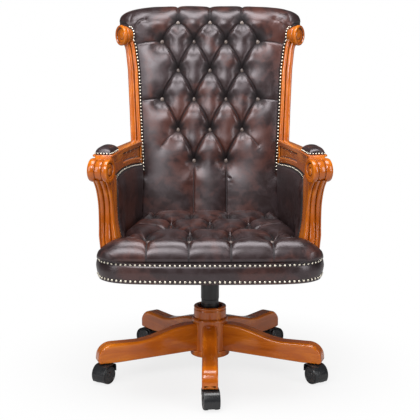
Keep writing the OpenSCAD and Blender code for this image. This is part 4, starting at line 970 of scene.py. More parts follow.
def back_pleats(buttons):
    """Pleats from each button to its neighbours in the next row, down to the seat, over the roll, and towards
    the uprights. Each has its line and its share of the full depth at both ends."""
    lines = [(arc_line(b, a, 0.12 if b[1] > 600 else 0.08), 0.8, 0.85) for a in buttons for b in buttons
             if 0 < b[1] - a[1] < 105 and abs(a[0] - b[0]) < 0.75 * BACK_PITCH]
    for k in (-0.5, 0.5):
        x = k * BACK_PITCH
        lines.append(loose_pleat([[x, BACK_ROWS[0]], [x * 1.02, 150], [x * 1.03, 80], [x, -10]], 0.5, 0.12))
    for k in (-1, 0, 1):
        x = k * BACK_PITCH
        lines.append(loose_pleat([[x, BACK_ROWS[5]], [x, 705], [x * 1.03, 770]], 0.5, 0.12))
    for s in (-1, 1):
        for row, drop in ((2, -10), (4, -9)):
            x, y, edge = s * 1.5 * BACK_PITCH, BACK_ROWS[row], s * 2.4 * BACK_PITCH
            points = [[x, y], [x + s * 26, y + 3], [x + s * 52, y + 1], [edge, y + drop]]
            lines.append(loose_pleat(points, 0.55, 0.16))
        x, y = s * BACK_PITCH, BACK_ROWS[1]
        lines.append(loose_pleat([[x, y], [x + s * 30, y - 20], [x + s * 58, y - 54]], 0.4, 0.03))
        lines.append(loose_pleat([[s * 238, 742], [s * 254, 712], [s * 262, 676], [s * 264, 640]], 0.1, 0.04))
        lines.append(loose_pleat([[s * 214, 674], [s * 232, 666], [s * 244, 648], [s * 250, 626]], 0.32, 0.05))
    return lines


def back_surface(s, x, drawn):
    """The cushion's front and its roll: a leaning plane, then an arc of the roll's radius; drawn goes inwards."""
    half = back_half_at(s)
    k = clamp((s - 440) / (ROLL_S - 440))
    edge = (7 * (abs(x) / half) ** 10 + 9 * (1 - brow(half - abs(x), 9))) * (0.2 + 0.8 * ease((s - 150) / 25))
    away = (edge + 2.5 * (x / half) ** 2) * (1 - k) + (ROLL_R - roll_radius(x)) * k
    a = np.maximum((s - ROLL_S) / ROLL_R, 0)
    r = np.maximum(roll_radius(x) - drawn, 2.0)
    r = r + LEAN * 25 * (1 - ease(a / 0.9))
    ahead = LEAN * clamp(s - ROLL_S + 50, 0, 50) ** 2 / 100
    y = np.where(s <= ROLL_S, BACK_Y + LEAN * s + away + drawn - ahead, ROLL_Y - r * np.cos(a))
    z = np.where(s <= ROLL_S, SEAT_TOP + 1 + s, ROLL_Z + 1 + r * np.sin(a))
    return np.stack([x, y, z], -1)


BACK_END = ROLL_S + math.radians(222) * ROLL_R


def back_grid(rows, cols):
    """The grid that the back's points are worked out on: heights down the rows, widths across."""
    s = np.linspace(0, BACK_END, rows)[:, None]
    x = back_half_at(s) * spread(cols, 0.62)[None, :]
    return s + 0 * x, x


def back_relief(s, x):
    """How deep the back's stuffing is drawn in, fading towards its sides and behind its roll, and its mark of
    painted shade, with a dark strip of painted shade down its sides beside the uprights.
    """
    buttons = back_buttons()
    drawn, mark = tufted(x, s, buttons, back_pleats(buttons), depth=23.0, reach=14.0, seed=8)
    # Painted shade: a dark strip down each side of the cushion, next to the uprights.
    side_shade_strip = 0.95 * (1 - ease((back_half_at(s) - abs(x) - 7) / 4)) * (s < ROLL_S - 20) * (s > 176)
    room = brow(back_half_at(s) - abs(x), 46) * clamp((roll_radius(x) - 8) / 30)
    low = 1 - 0.8 * clamp((s - 760) / 60)
    drawn = drawn * room * low - 1.4 * ripple(x, s, 21, 170) * room * low
    return drawn, np.maximum(mark * (0.4 + 0.6 * room) * low, side_shade_strip)


def back_form(rows, cols, moves=None):
    """The tufted front and roll as one grid, shut behind by two more columns along the board."""
    s, x = back_grid(rows, cols)
    drawn, mark = back_relief(s, x)
    front = back_surface(s, x, drawn)
    if moves is not None:
        front = front + finer(moves, rows, cols)
    up = s[:, 0]
    a = np.maximum((up - ROLL_S) / ROLL_R, 0)
    y = np.where(up <= ROLL_S, BACK_Y + LEAN * up + BACK_PAD - 1, ROLL_Y - 1.5 * np.cos(a))
    z = np.where(up <= ROLL_S, SEAT_TOP + 1 + up, ROLL_Z + 1 + 1.5 * np.sin(a))
    rear = [np.stack([sign * (back_half_at(up) - 4), y, z], -1)[:, None] for sign in (1, -1)]
    rings = np.concatenate([front] + rear, 1)
    marks = np.concatenate([mark, np.zeros((rows, 2))], 1)
    return lofted(rings, hollow=marks), mark


def back_shell(rows=372, cols=288, coarse_rows=124, coarse_cols=92):
    """The back cushion: its form, plus the moves of a coarser one blown up as cloth."""
    shell, mark = back_form(coarse_rows, coarse_cols)
    s, x = back_grid(coarse_rows, coarse_cols)
    room = brow(back_half_at(s) - abs(x), 36) * brow(s, 30) * (1 - ease((s - 770) / 50))
    front = np.arange(coarse_rows)[:, None] * (coarse_cols + 2) + np.arange(coarse_cols)[None, :]
    return back_form(rows, cols, cloth_moves(shell, front, mark, room))[0]


def board_shell():
    """The upholstered outside back: rounded boxes up the lean, crowned behind."""
    f = np.linspace(0, 1, 90)
    s = f * (ROLL_S - 2)
    half = BACK_HALF + 30 + 0.5 * BACK_FLARE * np.interp(f, FLARE[:, 0], FLARE[:, 1])
    front = BACK_Y + BACK_PAD + LEAN * s
    thick = BOARD_T - 10 * ease((f - 0.97) / 0.03)
    q = spread(64, 0.8)[None, :]
    x = half[:, None] * q
    crown = 7 * (1 - q ** 4) * np.sin(math.pi * clamp(f * 0.98 + 0.01))[:, None] ** 0.6
    rear = front[:, None] + thick[:, None] - 7 + crown - 6 * (1 - brow(1 - abs(q), 0.04))
    back = np.stack([x, rear, SEAT_TOP + s[:, None] + 0 * x], -1)
    face = np.stack([x[:, ::-1], front[:, None] + 0 * x, SEAT_TOP + s[:, None] + 0 * x], -1)[:, ::9]
    # Painted shade along the board's side edges, carried by the hollow mark.
    pinch_shade = 0.5 * bell(1 - abs(q), 0.03) + 0 * x
    return lofted(np.concatenate([back, face], 1), hollow=np.concatenate([pinch_shade, 0 * face[..., 0]], 1))


class CHAIR_OT_seat(bpy.types.Operator):
    """Makes the tufted seat cushion and the padded band round the seat"""
    bl_idname = "chair.seat"
    bl_label = "Seat"

    def execute(self, context):
        looks = finishes(context)
        piece("seat_cushion_leather", [seat_shell()], "seat", looks["tufted"],
              ["seat_cushion"])
        piece("seat_band_leather", [band_shell()], "seat", looks["plain"], ["seat_band"])
        return {"FINISHED"}


class CHAIR_OT_back(bpy.types.Operator):
    """Makes the tufted back with its roll, and the upholstered outside back"""
    bl_idname = "chair.back"
    bl_label = "Back"

    def execute(self, context):
        looks = finishes(context)
        piece("back_cushion_leather", [back_shell()], "seat", looks["tufted"],
              ["back_cushion"])
        piece("outside_back_leather", [board_shell()], "seat", looks["plain"],
              ["back_board"])
        return {"FINISHED"}


class CHAIR_OT_buttons(bpy.types.Operator):
    """Makes the leather-covered buttons, each in the bottom of its tuft and square to the leather there"""
    bl_idname = "chair.buttons"
    bl_label = "Tuft buttons"

    def execute(self, context):
        shells = []
        buttons = np.array(back_buttons())
        drawn, _ = back_relief(buttons[:, 1:], buttons[:, :1])
        places = back_surface(buttons[:, 1:], buttons[:, :1], drawn)[:, 0]
        for (x, s), at in zip(buttons, places):
            lift = math.degrees(max(0.0, (s - ROLL_S) / ROLL_R)) + 4
            out = np.array([0, -math.cos(math.radians(lift)), math.sin(math.radians(lift))])
            shells.append(button_shell().moved(facing(out), at + out * 5.0))
        for x, y in seat_buttons():
            shells.append(button_shell().moved(None, (x, bowed(x, y), SEAT_BUTTON_Z)))
        piece("leather_buttons", shells, "seat", finishes(context)["buttons"], ["tuft_buttons"])
        return {"FINISHED"}


# ---------- uprights ----------

def stile_edges(f):
    """Inner and outer X of an upright at share f of its height, right side."""
    inner = BACK_HALF + BACK_FLARE * np.interp(f, FLARE[:, 0], FLARE[:, 1]) + STILE_GAP
    width = np.interp(f, [0, 0.43, 0.576, 0.777, 0.87, 0.9, 0.952, 1], [1.15, 1, 0.98, 0.98, 0.93, 0.97, 1.13, 1.0])
    return inner, inner + width * STILE_W


def moulding(q):
    """The upright's face across its width: a narrow inner bead, a groove, a wide outer bead. 0 is proud."""
    beads = np.maximum(0.85 * half_round(q, 0.0, 0.36), half_round(q, 0.42, 1.0))
    return 5.0 * (beads - 1) - 1.6 * bell(q - 0.39, 0.03)


def stile_shell(rows=150, cols=46):
    """One upright: its moulded section carried up the lean, its top curling out onto the scroll."""
    f = np.linspace(0, 0.975, rows)[:, None]
    q = np.linspace(0, 1, cols)[None, :]
    inner, outer = stile_edges(f)
    curl = clamp((f - 0.86) / 0.115)

    def across(q):
        """X, and height up the back, at a share of the width: the top curls inwards and down."""
        return inner + (outer - inner) * q - 9 * curl ** 2 * q, f * ROLL_S - (22 * curl ** 1.7) * q

    x, s = across(q)
    face = STILE_Y + LEAN * s - moulding(q) - 5 * curl * (1 - q) + 14 * (1 - ease((s - 150) / 20))
    depth = np.where(f < 0.8, 70.0, np.where(f < 0.93, 70 - (f - 0.8) / 0.13 * 14, 56 - (f - 0.93) / 0.04 * 18))
    front = np.stack([x, face, SEAT_TOP + s], -1)
    x, s = across(np.array([1.0, 0.66, 0.33, 0.0])[None, :])
    rear = np.stack([x, STILE_Y + LEAN * f * ROLL_S + depth + 0 * x, SEAT_TOP + s], -1)
    rings = np.concatenate([front, rear], 1)
    return lofted(rings, grain=rings[..., [2, 0, 1]])


def spiral_relief(r, a, rim, eye, turns, depth, width):
    """A groove that winds in from the rim to the eye: its radius falls evenly with the angle."""
    span = rim - eye
    wanted = rim - span * (a / (2 * math.pi) + np.arange(-1, math.ceil(turns) + 1)[:, None, None]) / turns
    d = np.min(np.abs(r[None] - wanted), 0)
    inside = ease((rim + 1 - r) / 2) * ease((r - eye + 2) / 3)
    return -depth * bell(d, width) * inside


def scroll_shell(radius=SCROLL_R + 0.3, length=SCROLL_L, inner=0.72):
    """The scroll at the top of an upright: a drum that narrows inwards, with a round rim, and a spiral
    cut into its face round a raised eye."""
    lip, over = 4.5, np.linspace(0.15, math.pi / 2, 9)
    radii = np.concatenate([np.linspace(2, radius - lip, 36), radius - lip + lip * np.sin(over)])
    lift = np.concatenate([np.zeros(36), -lip + lip * np.cos(over)])
    count = 110
    a = circle(count)[None, :]
    r = np.repeat(radii[:, None], count, 1)
    dish = ease((radius - 6 - r) / 3) * (3.6 - 2.6 * bell(r, 10))
    relief = spiral_relief(r, a + 0 * r, radius - 7, 9, 1.0, 2.6, 3.0)
    z = lift[:, None] + relief * (r < radius - 3) - dish
    back = np.linspace(5, length - 1.5, 44)
    beads = np.maximum(half_round(back, -4, 15), 0.85 * half_round(back, 16.5, 33))
    wall = np.stack([radius * (1 - (1 - inner) * ease((back - 8) / (length - 8))) - 3.4 * (1 - beads), -back], 1)
    r = np.concatenate([r, np.repeat(wall[:, :1], count, 1)])
    z = np.concatenate([z, np.repeat(wall[:, 1:], count, 1)])
    rings = np.stack([r * np.cos(a), r * np.sin(a), z], -1)
    return lofted(rings, grain=rings[..., [1, 0, 2]])


def scroll_place(shell):
    """Stands the drum with its face outwards and forwards, at the top of the right upright."""
    return shell.moved(np.stack([[-SCROLL_AXIS[1], SCROLL_AXIS[0], 0], [0, 0, 1], SCROLL_AXIS], 1), SCROLL_AT)


# ---------- arms: X forwards along the arm, Y towards the sitter, Z up from the seat ----------

def arm_place(shell, side):
    """Takes a part of the arm to the left side of the chair, and mirrors it for the right side."""
    left = shell.moved(turn("z", -90 - ARM_SPLAY)).moved(None, (-ARM_X, ARM_REAR_Y, SEAT_TOP))
    return left if side == "left" else left.mirrored()


def rear_edge(y, z):
    """X along the arm where it meets the upright's leaning face: the face's plane solved for X."""
    a = math.radians(ARM_SPLAY)
    return (ARM_REAR_Y - STILE_Y - math.sin(a) * y - LEAN * z) / math.cos(a) - 0.5


PANEL_TOP = [[POST_BACK, RAIL_LOW - 50], [POST_BACK - 3, RAIL_LOW - 22], [POST_BACK - 14, RAIL_LOW],
             [POST_BACK - 42, RAIL_LOW + 17], [POST_BACK - 140, RAIL_ARCH], [POST_BACK - 250, RAIL_LOW + 15],
             [POST_BACK - 350, RAIL_LOW + 3], [-22, RAIL_LOW]]


def panel_top_at(x):
    """Height of the leather panel's top edge at a place along the arm."""
    line = curve(PANEL_TOP, 160)[::-1]
    return np.interp(x, line[:, 0], line[:, 1])


def rail_top_at(x):
    """The rail's top line: level under the pad, falling towards the upright."""
    return ARM_H - 0.6 - RAIL_FALL * clamp((0.75 * POST_BACK - x) / (0.75 * POST_BACK + 22))


def rail_shell(rows=120, cols=44):
    """The rail: a board with a shaped lower edge, and a sunk panel with a plain border on each face."""
    r = np.linspace(0, 1, rows)[:, None]
    w = np.linspace(0, 1, cols)[None, :]
    end = POST_BACK + 8.0
    low = np.minimum(panel_top_at(r * end), RAIL_ARCH)
    top = rail_top_at(r * end)

    def face(y, share):
        """The three coordinates of one face over the grid."""
        z = low + (top - low) * share
        x0 = rear_edge(y, z)
        x = x0 + (end - x0) * r
        inside = np.minimum(np.minimum(x - x0 - 12, POST_BACK - 130 - x), np.minimum(z - low - 15, top - 14 - z))
        sunk = 4.6 * ease(inside / 5)
        easing = 3.0 * (1 - brow(np.minimum(z - low, top - z), 4.0))
        return x, z, abs(y) - sunk - easing

    xi, zi, yi = face(RAIL_T / 2, w)
    xo, zo, yo = face(-RAIL_T / 2, w[:, ::-1])
    inner, outer = np.stack([xi, yi, zi], -1), np.stack([xo, -yo, zo], -1)
    rings = np.concatenate([inner, outer], 1)
    return lofted(rings, grain=rings)


def ledge_shell():
    """The flat ledge under the pad, its rims rounded."""
    half, rear, front = PAD_W / 2 + LEDGE_NOSE, ARM_L - PAD_FRONT - PAD_L - LEDGE_NOSE, ARM_L - PAD_FRONT + LEDGE_NOSE
    outline = rounded([[rear, -half], [front, -half], [front, half], [rear, half]], 9, 8)
    shell = extruded(outline, LEDGE_T / 2 + 0.8, 2.0, axis="z")
    shell.grain = shell.points.copy()
    return shell.moved(None, (0, 0, ARM_H + LEDGE_T / 2 - 0.8))


REED_AT = (0, 0.25, 0.6, 0.86, 1)
REEDS = ((0.10, 0.11, 0.12, 0.12, 0.12), (0.34, 0.36, 0.43, 0.44, 0.44), (0.66, 0.72, 0.77, 0.78, 0.78))


def reeds(q, share):
    """The carved ribs across the post's front: four beads between bounds that wander as they rise."""
    marks = [np.interp(share, REED_AT, row) for row in REEDS]
    bounds = [np.zeros_like(share)] + marks + [np.ones_like(share)]
    total = np.zeros(np.broadcast(q, share).shape)
    for a, b in zip(bounds[:-1], bounds[1:]):
        total = np.maximum(total, half_round(q, a, b) * clamp((b - a) / 0.2, 0.55, 1.3))
    return total


def post_edges(z):
    """How far the post reaches towards the sitter and away from the sitter at a height."""
    share = z / ARM_H
    inner = POST_HALF * np.interp(share, [0, 0.15, 0.3, 0.442, NECK_SHARE], [1.667, 1.4, 1.133, 1.033, 1.0])
    return inner, POST_HALF * np.interp(share, [0, 0.2, 0.442, NECK_SHARE], [0.2, 0.48, 0.52, 0.55])


def flush_with_post(z, away):
    """How far the panel's inner face comes out to the post at a height, fading away from its front edge."""
    return (post_edges(z)[0] + 5.5 - PANEL_IN) * ease(1 - away / 110)


def post_shell(rows=140, cols=84):
    """The arm post: an S-shaped front carved in four ribs, wider at its foot, carried up under the volute."""
    h = np.linspace(0, 1, rows)[:, None]
    q = np.linspace(0, 1, cols)[None, :]
    line = np.array([[0.082, 0.789], [-0.027, 0.687], [-0.102, 0.524], [-0.112, 0.354], [-0.085, 0.167],
                     [-0.058, 0.0]])[::-1] * ARM_H + [ARM_L, 0]
    line = curve(line, rows)
    x, z = line[:, :1], line[:, 1:]
    inner, outer = post_edges(z)
    y = -outer + (outer + inner) * q
    carve = 7.5 * reeds(q, h) * (1 - 0.4 * ease((h - 0.85) / 0.15))
    swell = 6.0 * bell(q - 0.41, 0.14) * bell(z - 40, 44)
    front = np.stack([x - 6.8 + carve + swell, y, z + 0 * y], -1)
    back_x = POST_BACK + 0 * z
    t = np.linspace(0, 1, 12)[None, 1:-1]
    start = front[:, -1:, 0] - 2
    inner_side = np.stack([start + (back_x - start) * t, inner + 1.0 * half_round(t, 0.0, 1.0) - 1.0, z + 0 * t], -1)
    rear_y = np.linspace(1, 0, 8)[None, :]
    rear = np.stack([back_x + 0 * rear_y, -outer + 1 + (outer + inner - 2) * rear_y, z + 0 * rear_y], -1)
    start = front[:, :1, 0] - 2
    outer_side = np.stack([back_x + (start - back_x) * t, -outer - 1.0 * half_round(t, 0.0, 1.0) + 1.0, z + 0 * t], -1)
    rings = np.concatenate([front, inner_side, rear, outer_side], 1)
    return lofted(rings, grain=rings[..., [2, 1, 0]], reach=1)


def throat_shell(rows=30):
    """The block between the post's top and the ledge, behind the volute: rounded boxes rising and leaning on."""
    t = np.linspace(0, 1, rows)[:, None]
    z = NECK_SHARE * ARM_H - 6 + (ARM_H + 1.5 - NECK_SHARE * ARM_H + 6) * t
    rear, front = POST_BACK + 14 * clamp((z / ARM_H - NECK_SHARE) / (1 - NECK_SHARE)), ARM_L - 8 - 26 * t ** 2
    inner, outer = 29.4 - 2.5 * t ** 6, 16.2 + 9 * t ** 2
    a = circle(64)[None, :]
    cx, cy = np.sign(np.cos(a)) * abs(np.cos(a)) ** 0.4, np.sign(np.sin(a)) * abs(np.sin(a)) ** 0.4
    rings = np.stack([(rear + front) / 2 + (front - rear) / 2 * cx,
                      (inner - outer) / 2 + (inner + outer) / 2 * cy, z + 0 * a], -1)
    return lofted(rings, grain=rings[..., [0, 2, 1]])


def volute_shell(count=120):
    """The rolled volute: a drum between two ribs that stand proud, and a rimmed, spiral-cut hollow in each end."""
    w, r0 = VOLUTE_W / 2, VOLUTE_R
    y = np.linspace(-w + 2.5, w - 2.5, 80)
    ribs = np.maximum(half_round(y, -w - 2, -9.5), half_round(y, 12, w + 1))
    ribs = np.maximum(ribs, 0.45 * half_round(y, -9, 11.5) ** 0.6)
    wall = np.stack([r0 - 6.0 + 6.0 * ribs, y], 1)
    t = np.linspace(0, 1, 30)
    r_end = (r0 - 1.6) * (1 - t) + 2.0 * t
    rim = w - 0.2 - 2.0 * ease((r0 - 9 - r_end) / 5) + 1.5 * bell(r_end, 9) - 1.2 * ease((r_end - r0 + 4) / 3)
    inner = np.stack([r_end, rim], 1)
    outer = np.stack([r_end, -rim], 1)[::-1]
    profile = np.vstack([outer, wall, inner])
    turns = circle(count)[None, :]
    r = np.repeat(profile[:, :1], count, 1)
    cut = spiral_relief(r, turns + 0 * r, r0 - 9, 8, 1.25, 3.4, 2.0)
    ends = np.zeros(len(profile))
    ends[:30], ends[-30:] = -1, 1
    height = profile[:, 1:] + cut * ends[:, None]
    rings = np.stack([r * np.cos(turns), height, r * np.sin(turns)], -1)
    drum = lofted(rings, grain=rings[..., [2, 1, 0]])
    return drum.moved(turn("z", -VOLUTE_TURN)).moved(None, (ARM_L, VOLUTE_IN, ARM_H - VOLUTE_R))


# ---------- leather on the arms ----------

def pad_shell(rows=90, cols=80):
    """The arm pad: a domed section carried along the arm, its ends rolled down and its corners rounded."""
    t = spread(rows, 0.92)[:, None] * 0.5 + 0.5
    along = t * PAD_L
    ends = brow(np.minimum(along, PAD_L - along), 26)
    a = np.linspace(0, math.pi, cols)[None, :]
    half = PAD_W / 2 * (0.72 + 0.28 * brow(np.minimum(along, PAD_L - along), 14))
    y = half * np.cos(a) * (0.95 + 0.05 * np.sin(a) ** 0.7)
    z = (PAD_H - 0.8) * np.sin(a) ** 0.62 * (0.1 + 0.9 * ends ** 0.9) * (0.95 + 0.05 * np.sin(t * math.pi))
    z = z + 0.4 * ripple(along, y, 31, 70) * np.sin(a) * ends
    x = ARM_L - PAD_FRONT - PAD_L + along
    base = ARM_H + LEDGE_T + 0.5
    top = np.stack([x + 0 * y, y, base + z], -1)
    under = np.stack([x + 0 * y, y, base - 0.1 + 0 * z], -1)[:, ::-1][:, 4:-4:8]
    # Painted shade along the pad's foot above its nails, carried by the hollow mark.
    pinch_shade = 0.9 * bell(np.minimum(z, 40) - 2.6, 3.2)
    return lofted(np.concatenate([top, under], 1), hollow=np.concatenate([pinch_shade, 0 * under[..., 0]], 1))


def arm_leather_shell(rows=120, cols=64):
    """The leather panel below the rail: crowned on both faces, drawn in at the nails along its top and front."""
    r = spread(rows, 0.86)[:, None] * 0.5 + 0.5
    end = POST_BACK - 0.6
    top = np.minimum(panel_top_at(r * end), RAIL_ARCH) - 0.6

    def face(y, share):
        """The three coordinates of one face over the grid, and its mark of painted shade along the nail strip at its
        edges.
        """
        z = 0.5 + (top - 0.5) * share
        x0 = rear_edge(y, z)
        x = x0 + (end - x0) * r
        near = np.minimum(np.minimum(end - x, top - z), (x - x0) + 6)
        soft = brow(near - 6, 40)
        flush = flush_with_post(z, end - x) * (y > 0) * clamp((top - z) / 30, 0.3)
        out = abs(y) + flush - 9 + 11 * soft + 1.0 * ripple(x, z, 41, 220, 2) * soft
        # The last value is painted shade: dark within about a centimetre of the nailed edges.
        return x, z, out, 0.97 * (1 - ease((near - 8) / 4))

    share = spread(cols, 0.86)[None, :] * 0.5 + 0.5
    xi, zi, yi, mi = face(PANEL_IN, share)
    xo, zo, yo, mo = face(-PANEL_OUT, share[:, ::-1])
    rings = np.concatenate([np.stack([xi, yi, zi], -1), np.stack([xo, -yo, zo], -1)], 1)
    return lofted(rings, hollow=np.concatenate([mi, mo], 1))


class CHAIR_OT_uprights(bpy.types.Operator):
    """Makes the two moulded uprights beside the back, each with the scroll at its top"""
    bl_idname = "chair.uprights"
    bl_label = "Uprights"

    def execute(self, context):
        finish = finishes(context)["wood"]
        right = [stile_shell(), scroll_place(scroll_shell())]
        for side in SIDES:
            shells = right if side == "right" else [s.mirrored() for s in right]
            piece(f"upright_{side}", shells, "seat", finish, [f"back_stile_{side}"], sharp=50)
        return {"FINISHED"}


class CHAIR_OT_arms(bpy.types.Operator):
    """Makes the carved posts with their volutes, the rails, the ledges, and the leather on the arms"""
    bl_idname = "chair.arms"
    bl_label = "Arms"

    def execute(self, context):
        looks = finishes(context)
        for side in SIDES:
            def put(shells):
                return [arm_place(s, side) for s in shells]
            piece(f"post_{side}", put([post_shell(), throat_shell(), volute_shell()]), "seat", looks["wood"],
                  [f"arm_post_{side}"], sharp=50)
            piece(f"rail_{side}", put([rail_shell(), ledge_shell()]), "seat", looks["wood"],
                  [f"arm_rail_{side}"], sharp=50)
            piece(f"pad_leather_{side}", put([pad_shell()]), "seat", looks["plain"],
                  [f"arm_pad_{side}"])
            piece(f"arm_leather_{side}", put([arm_leather_shell()]), "seat", looks["plain"],
                  [f"arm_panel_{side}"])
        return {"FINISHED"}


# ---------- nails ----------

NAIL_R = 3.0
NAIL_PITCH = 10.6
NAIL_INSET = 9.0
SEAT_NAILS = 156


def nail_rows():
    """Every row of nails: places and outward directions, evenly spaced along the edges that they hold down."""
    rows = []
    line = seat_outline(0.2, SEAT_NAILS)
    for height in (SEAT_Z + 9, SEAT_Z + 58):
        rows.append((np.column_stack([line, np.full(SEAT_NAILS, height)]),
                     np.column_stack([outline_normals(line), np.zeros(SEAT_NAILS)]), NAIL_R + 0.9))
    s = np.arange(186, 634, NAIL_PITCH)
    inner, _ = stile_edges(s / ROLL_S)
    for sign in (-1, 1):
        at = np.column_stack([sign * (inner - 4.4), BACK_Y + 1.5 + LEAN * s, SEAT_TOP + s])
        rows.append((at, np.tile([sign * -0.1, -1.0, 0.12], (len(s), 1)), NAIL_R))
        a = np.radians(np.arange(-34, 100, 22.0))[:, None]
        out = np.cos(a) * [SCROLL_AXIS[1], -SCROLL_AXIS[0], 0.0] + np.sin(a) * [0.0, 0.0, 1.0]
        at = SCROLL_AT - (SCROLL_L - 1.5) * SCROLL_AXIS + 27 * out
        rows.append((at * [sign, 1, 1], out * [sign, 1, 1] + [0, -0.5, 0], NAIL_R))
    return rows


def arm_nail_rows():
    """The rows on one arm, in the arm's own directions: below the rail, down the post, and round the pad."""
    rows = []
    line = resample(curve(PANEL_TOP, 200), 4000)
    line = line[line[:, 0] > rear_edge(PANEL_IN, RAIL_LOW) + 4]
    line = np.vstack([[[POST_BACK, z] for z in np.arange(34, RAIL_LOW - 50, 2.0)], line])
    count = int(np.linalg.norm(np.diff(line, axis=0), axis=1).sum() / NAIL_PITCH)
    line = resample(line, count)
    ahead = unit(np.gradient(line, axis=0))
    at = line + np.stack([-ahead[:, 1], ahead[:, 0]], 1) * 4.6
    flush = flush_with_post(at[:, 1], POST_BACK - at[:, 0])
    flush = flush * np.interp(at[:, 1], [RAIL_LOW - 70, RAIL_LOW - 30], [1, 0.3])
    for y, way in ((PANEL_IN - NAIL_INSET + flush, 1), (np.full(count, NAIL_INSET - PANEL_OUT), -1)):
        rows.append((np.column_stack([at[:, 0], y + 0.4 * way, at[:, 1]]),
                     np.tile([0.35, float(way), 0.0], (count, 1)), NAIL_R - 0.8))
    half, rear, front = PAD_W / 2 - 0.5, ARM_L - PAD_FRONT - PAD_L + 0.5, ARM_L - PAD_FRONT - 0.5
    rim = rounded([[rear, -half], [front, -half], [front, half], [rear, half]], 13, 8)
    rim = resample(np.vstack([rim, rim[:1]]), 31)[:-1]
    out = outline_normals(rim)
    high, lift = np.full(len(rim), ARM_H + LEDGE_T + 3.4), np.full(len(rim), 0.25)
    rows.append((np.column_stack([rim, high]), np.column_stack([out, lift]), NAIL_R - 0.5))
    return rows


def nail_heads(places, directions, radius):
    """One low dome for each place, turned to its direction: rings of ten points and a tip."""
    rise = np.array([[1.0, -0.35], [1.0, 0.12], [0.8, 0.42], [0.45, 0.62], [0.08, 0.7]])
    template = turned(rise * radius, 10)
    z = unit(np.asarray(directions, float))
    x = unit(np.cross(np.array([0.12, 0.31, 1.0]), z))
    m = np.stack([x, np.cross(z, x), z], -1)
    points = np.einsum("nij,pj->npi", m, template.points) + np.asarray(places)[:, None]
    faces = [f + k * len(template.points) for k in range(len(places)) for f in template.faces]
    # The foot of each head carries the hollow mark, so it renders darker.
    rim = np.clip(0.32 - template.points[:, 2] / radius, 0, 1) * 0.5
    return Shell(points.reshape(-1, 3), faces, np.tile(rim, len(places)))


class CHAIR_OT_nails(bpy.types.Operator):
    """Sets the brass nails along the seat band, the uprights, the arm panels and the arm pads"""
    bl_idname = "chair.nails"
    bl_label = "Nails"

    def execute(self, context):
        finish = finishes(context)["brass"]
        rows = nail_rows()
        piece("seat_nails", [nail_heads(*r) for r in rows[:2]], "seat", finish, ["nail_trim"])
        piece("back_nails", [nail_heads(*r) for r in rows[2:]], "seat", finish)
        for side in SIDES:
            piece(f"arm_nails_{side}", [arm_place(nail_heads(*r), side) for r in arm_nail_rows()], "seat",
                  finish)
        return {"FINISHED"}


class CHAIR_OT_mechanism(bpy.types.Operator):
    """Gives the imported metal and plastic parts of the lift, the tilt and the casters their finishes"""
    bl_idname = "chair.mechanism"
    bl_label = "Mechanism"

    def execute(self, context):
        looks = finishes(context)
        slots = {part["node"]: part["material_slot"] for part in frame["record"]["subparts"]}
        worn = {"black_steel": "painted", "bright_steel": "steel", "black_plastic": "plastic",
                "caster_plastic": "caster", "caster_tread": "tread", "raw_wood": "raw", "nail_brass": "brass"}
        for name, node in frame["nodes"].items():
            look = looks[worn.get(slots.get(name), "cad_wood")]
            node.data.materials.clear()
            node.data.materials.append(look)
        return {"FINISHED"}


# ---------- stage ----------

def make_floor(colour):
    """A pale floor that keeps the chair's shadow near its base; the camera sees it white further out."""
    f = Finish("pale_floor")
    path = f.node("LightPath", output="Is Camera Ray")
    place = f.place()
    grain = f.noise(place, 3.0, 2)
    uneven = f.mixed(f.between(grain, 0.3, 0.7, 0.0, 1.0), colour, shade(colour, 0.985))
    plain = f.node("BsdfDiffuse", {"Color": uneven})
    glow = f.node("Emission", {"Color": (1, 1, 1, 1), "Strength": 1.0})
    away = f.node("VectorMath", {0: place}, output="Value", operation="LENGTH")
    return f.shown(f.node("MixShader", {0: path * f.between(away, 0.2, 0.8, 0.80, 1.0), 1: plain, 2: glow}))


def make_world(strength):
    """A soft grey room, white where the camera or glass looks past the floor."""
    world = bpy.data.worlds.new("studio")
    bpy.context.scene.world = world
    f = Finish("studio", world)
    camera, glass = (f.node("LightPath", output=f"Is {ray} Ray") for ray in ("Camera", "Transmission"))
    dim = f.node("Background", {"Color": (0.93, 0.95, 1.0, 1), "Strength": strength})
    bright = f.node("Background", {"Color": (1, 1, 1, 1)})
    f.shown(f.node("MixShader", {0: camera.maths("MAXIMUM", camera, glass), 1: dim, 2: bright}), "OutputWorld")


def soft_lamp(name, place, aim, size, power):
    """A large rectangular lamp that looks from its place at its aim."""
    lamp = bpy.data.lights.new(name, "AREA")
    lamp.shape, lamp.size, lamp.size_y = "RECTANGLE", size[0], size[1]
    lamp.energy = power
    made = bpy.data.objects.new(name, lamp)
    from_to = np.array(aim, float) - np.array(place, float)
    yaw = math.atan2(from_to[0], -from_to[1])
    pitch = math.atan2(math.hypot(from_to[0], from_to[1]), -from_to[2])
    made.rotation_euler = (pitch, 0, yaw + math.pi)
    made.location = place
    bpy.context.scene.collection.objects.link(made)


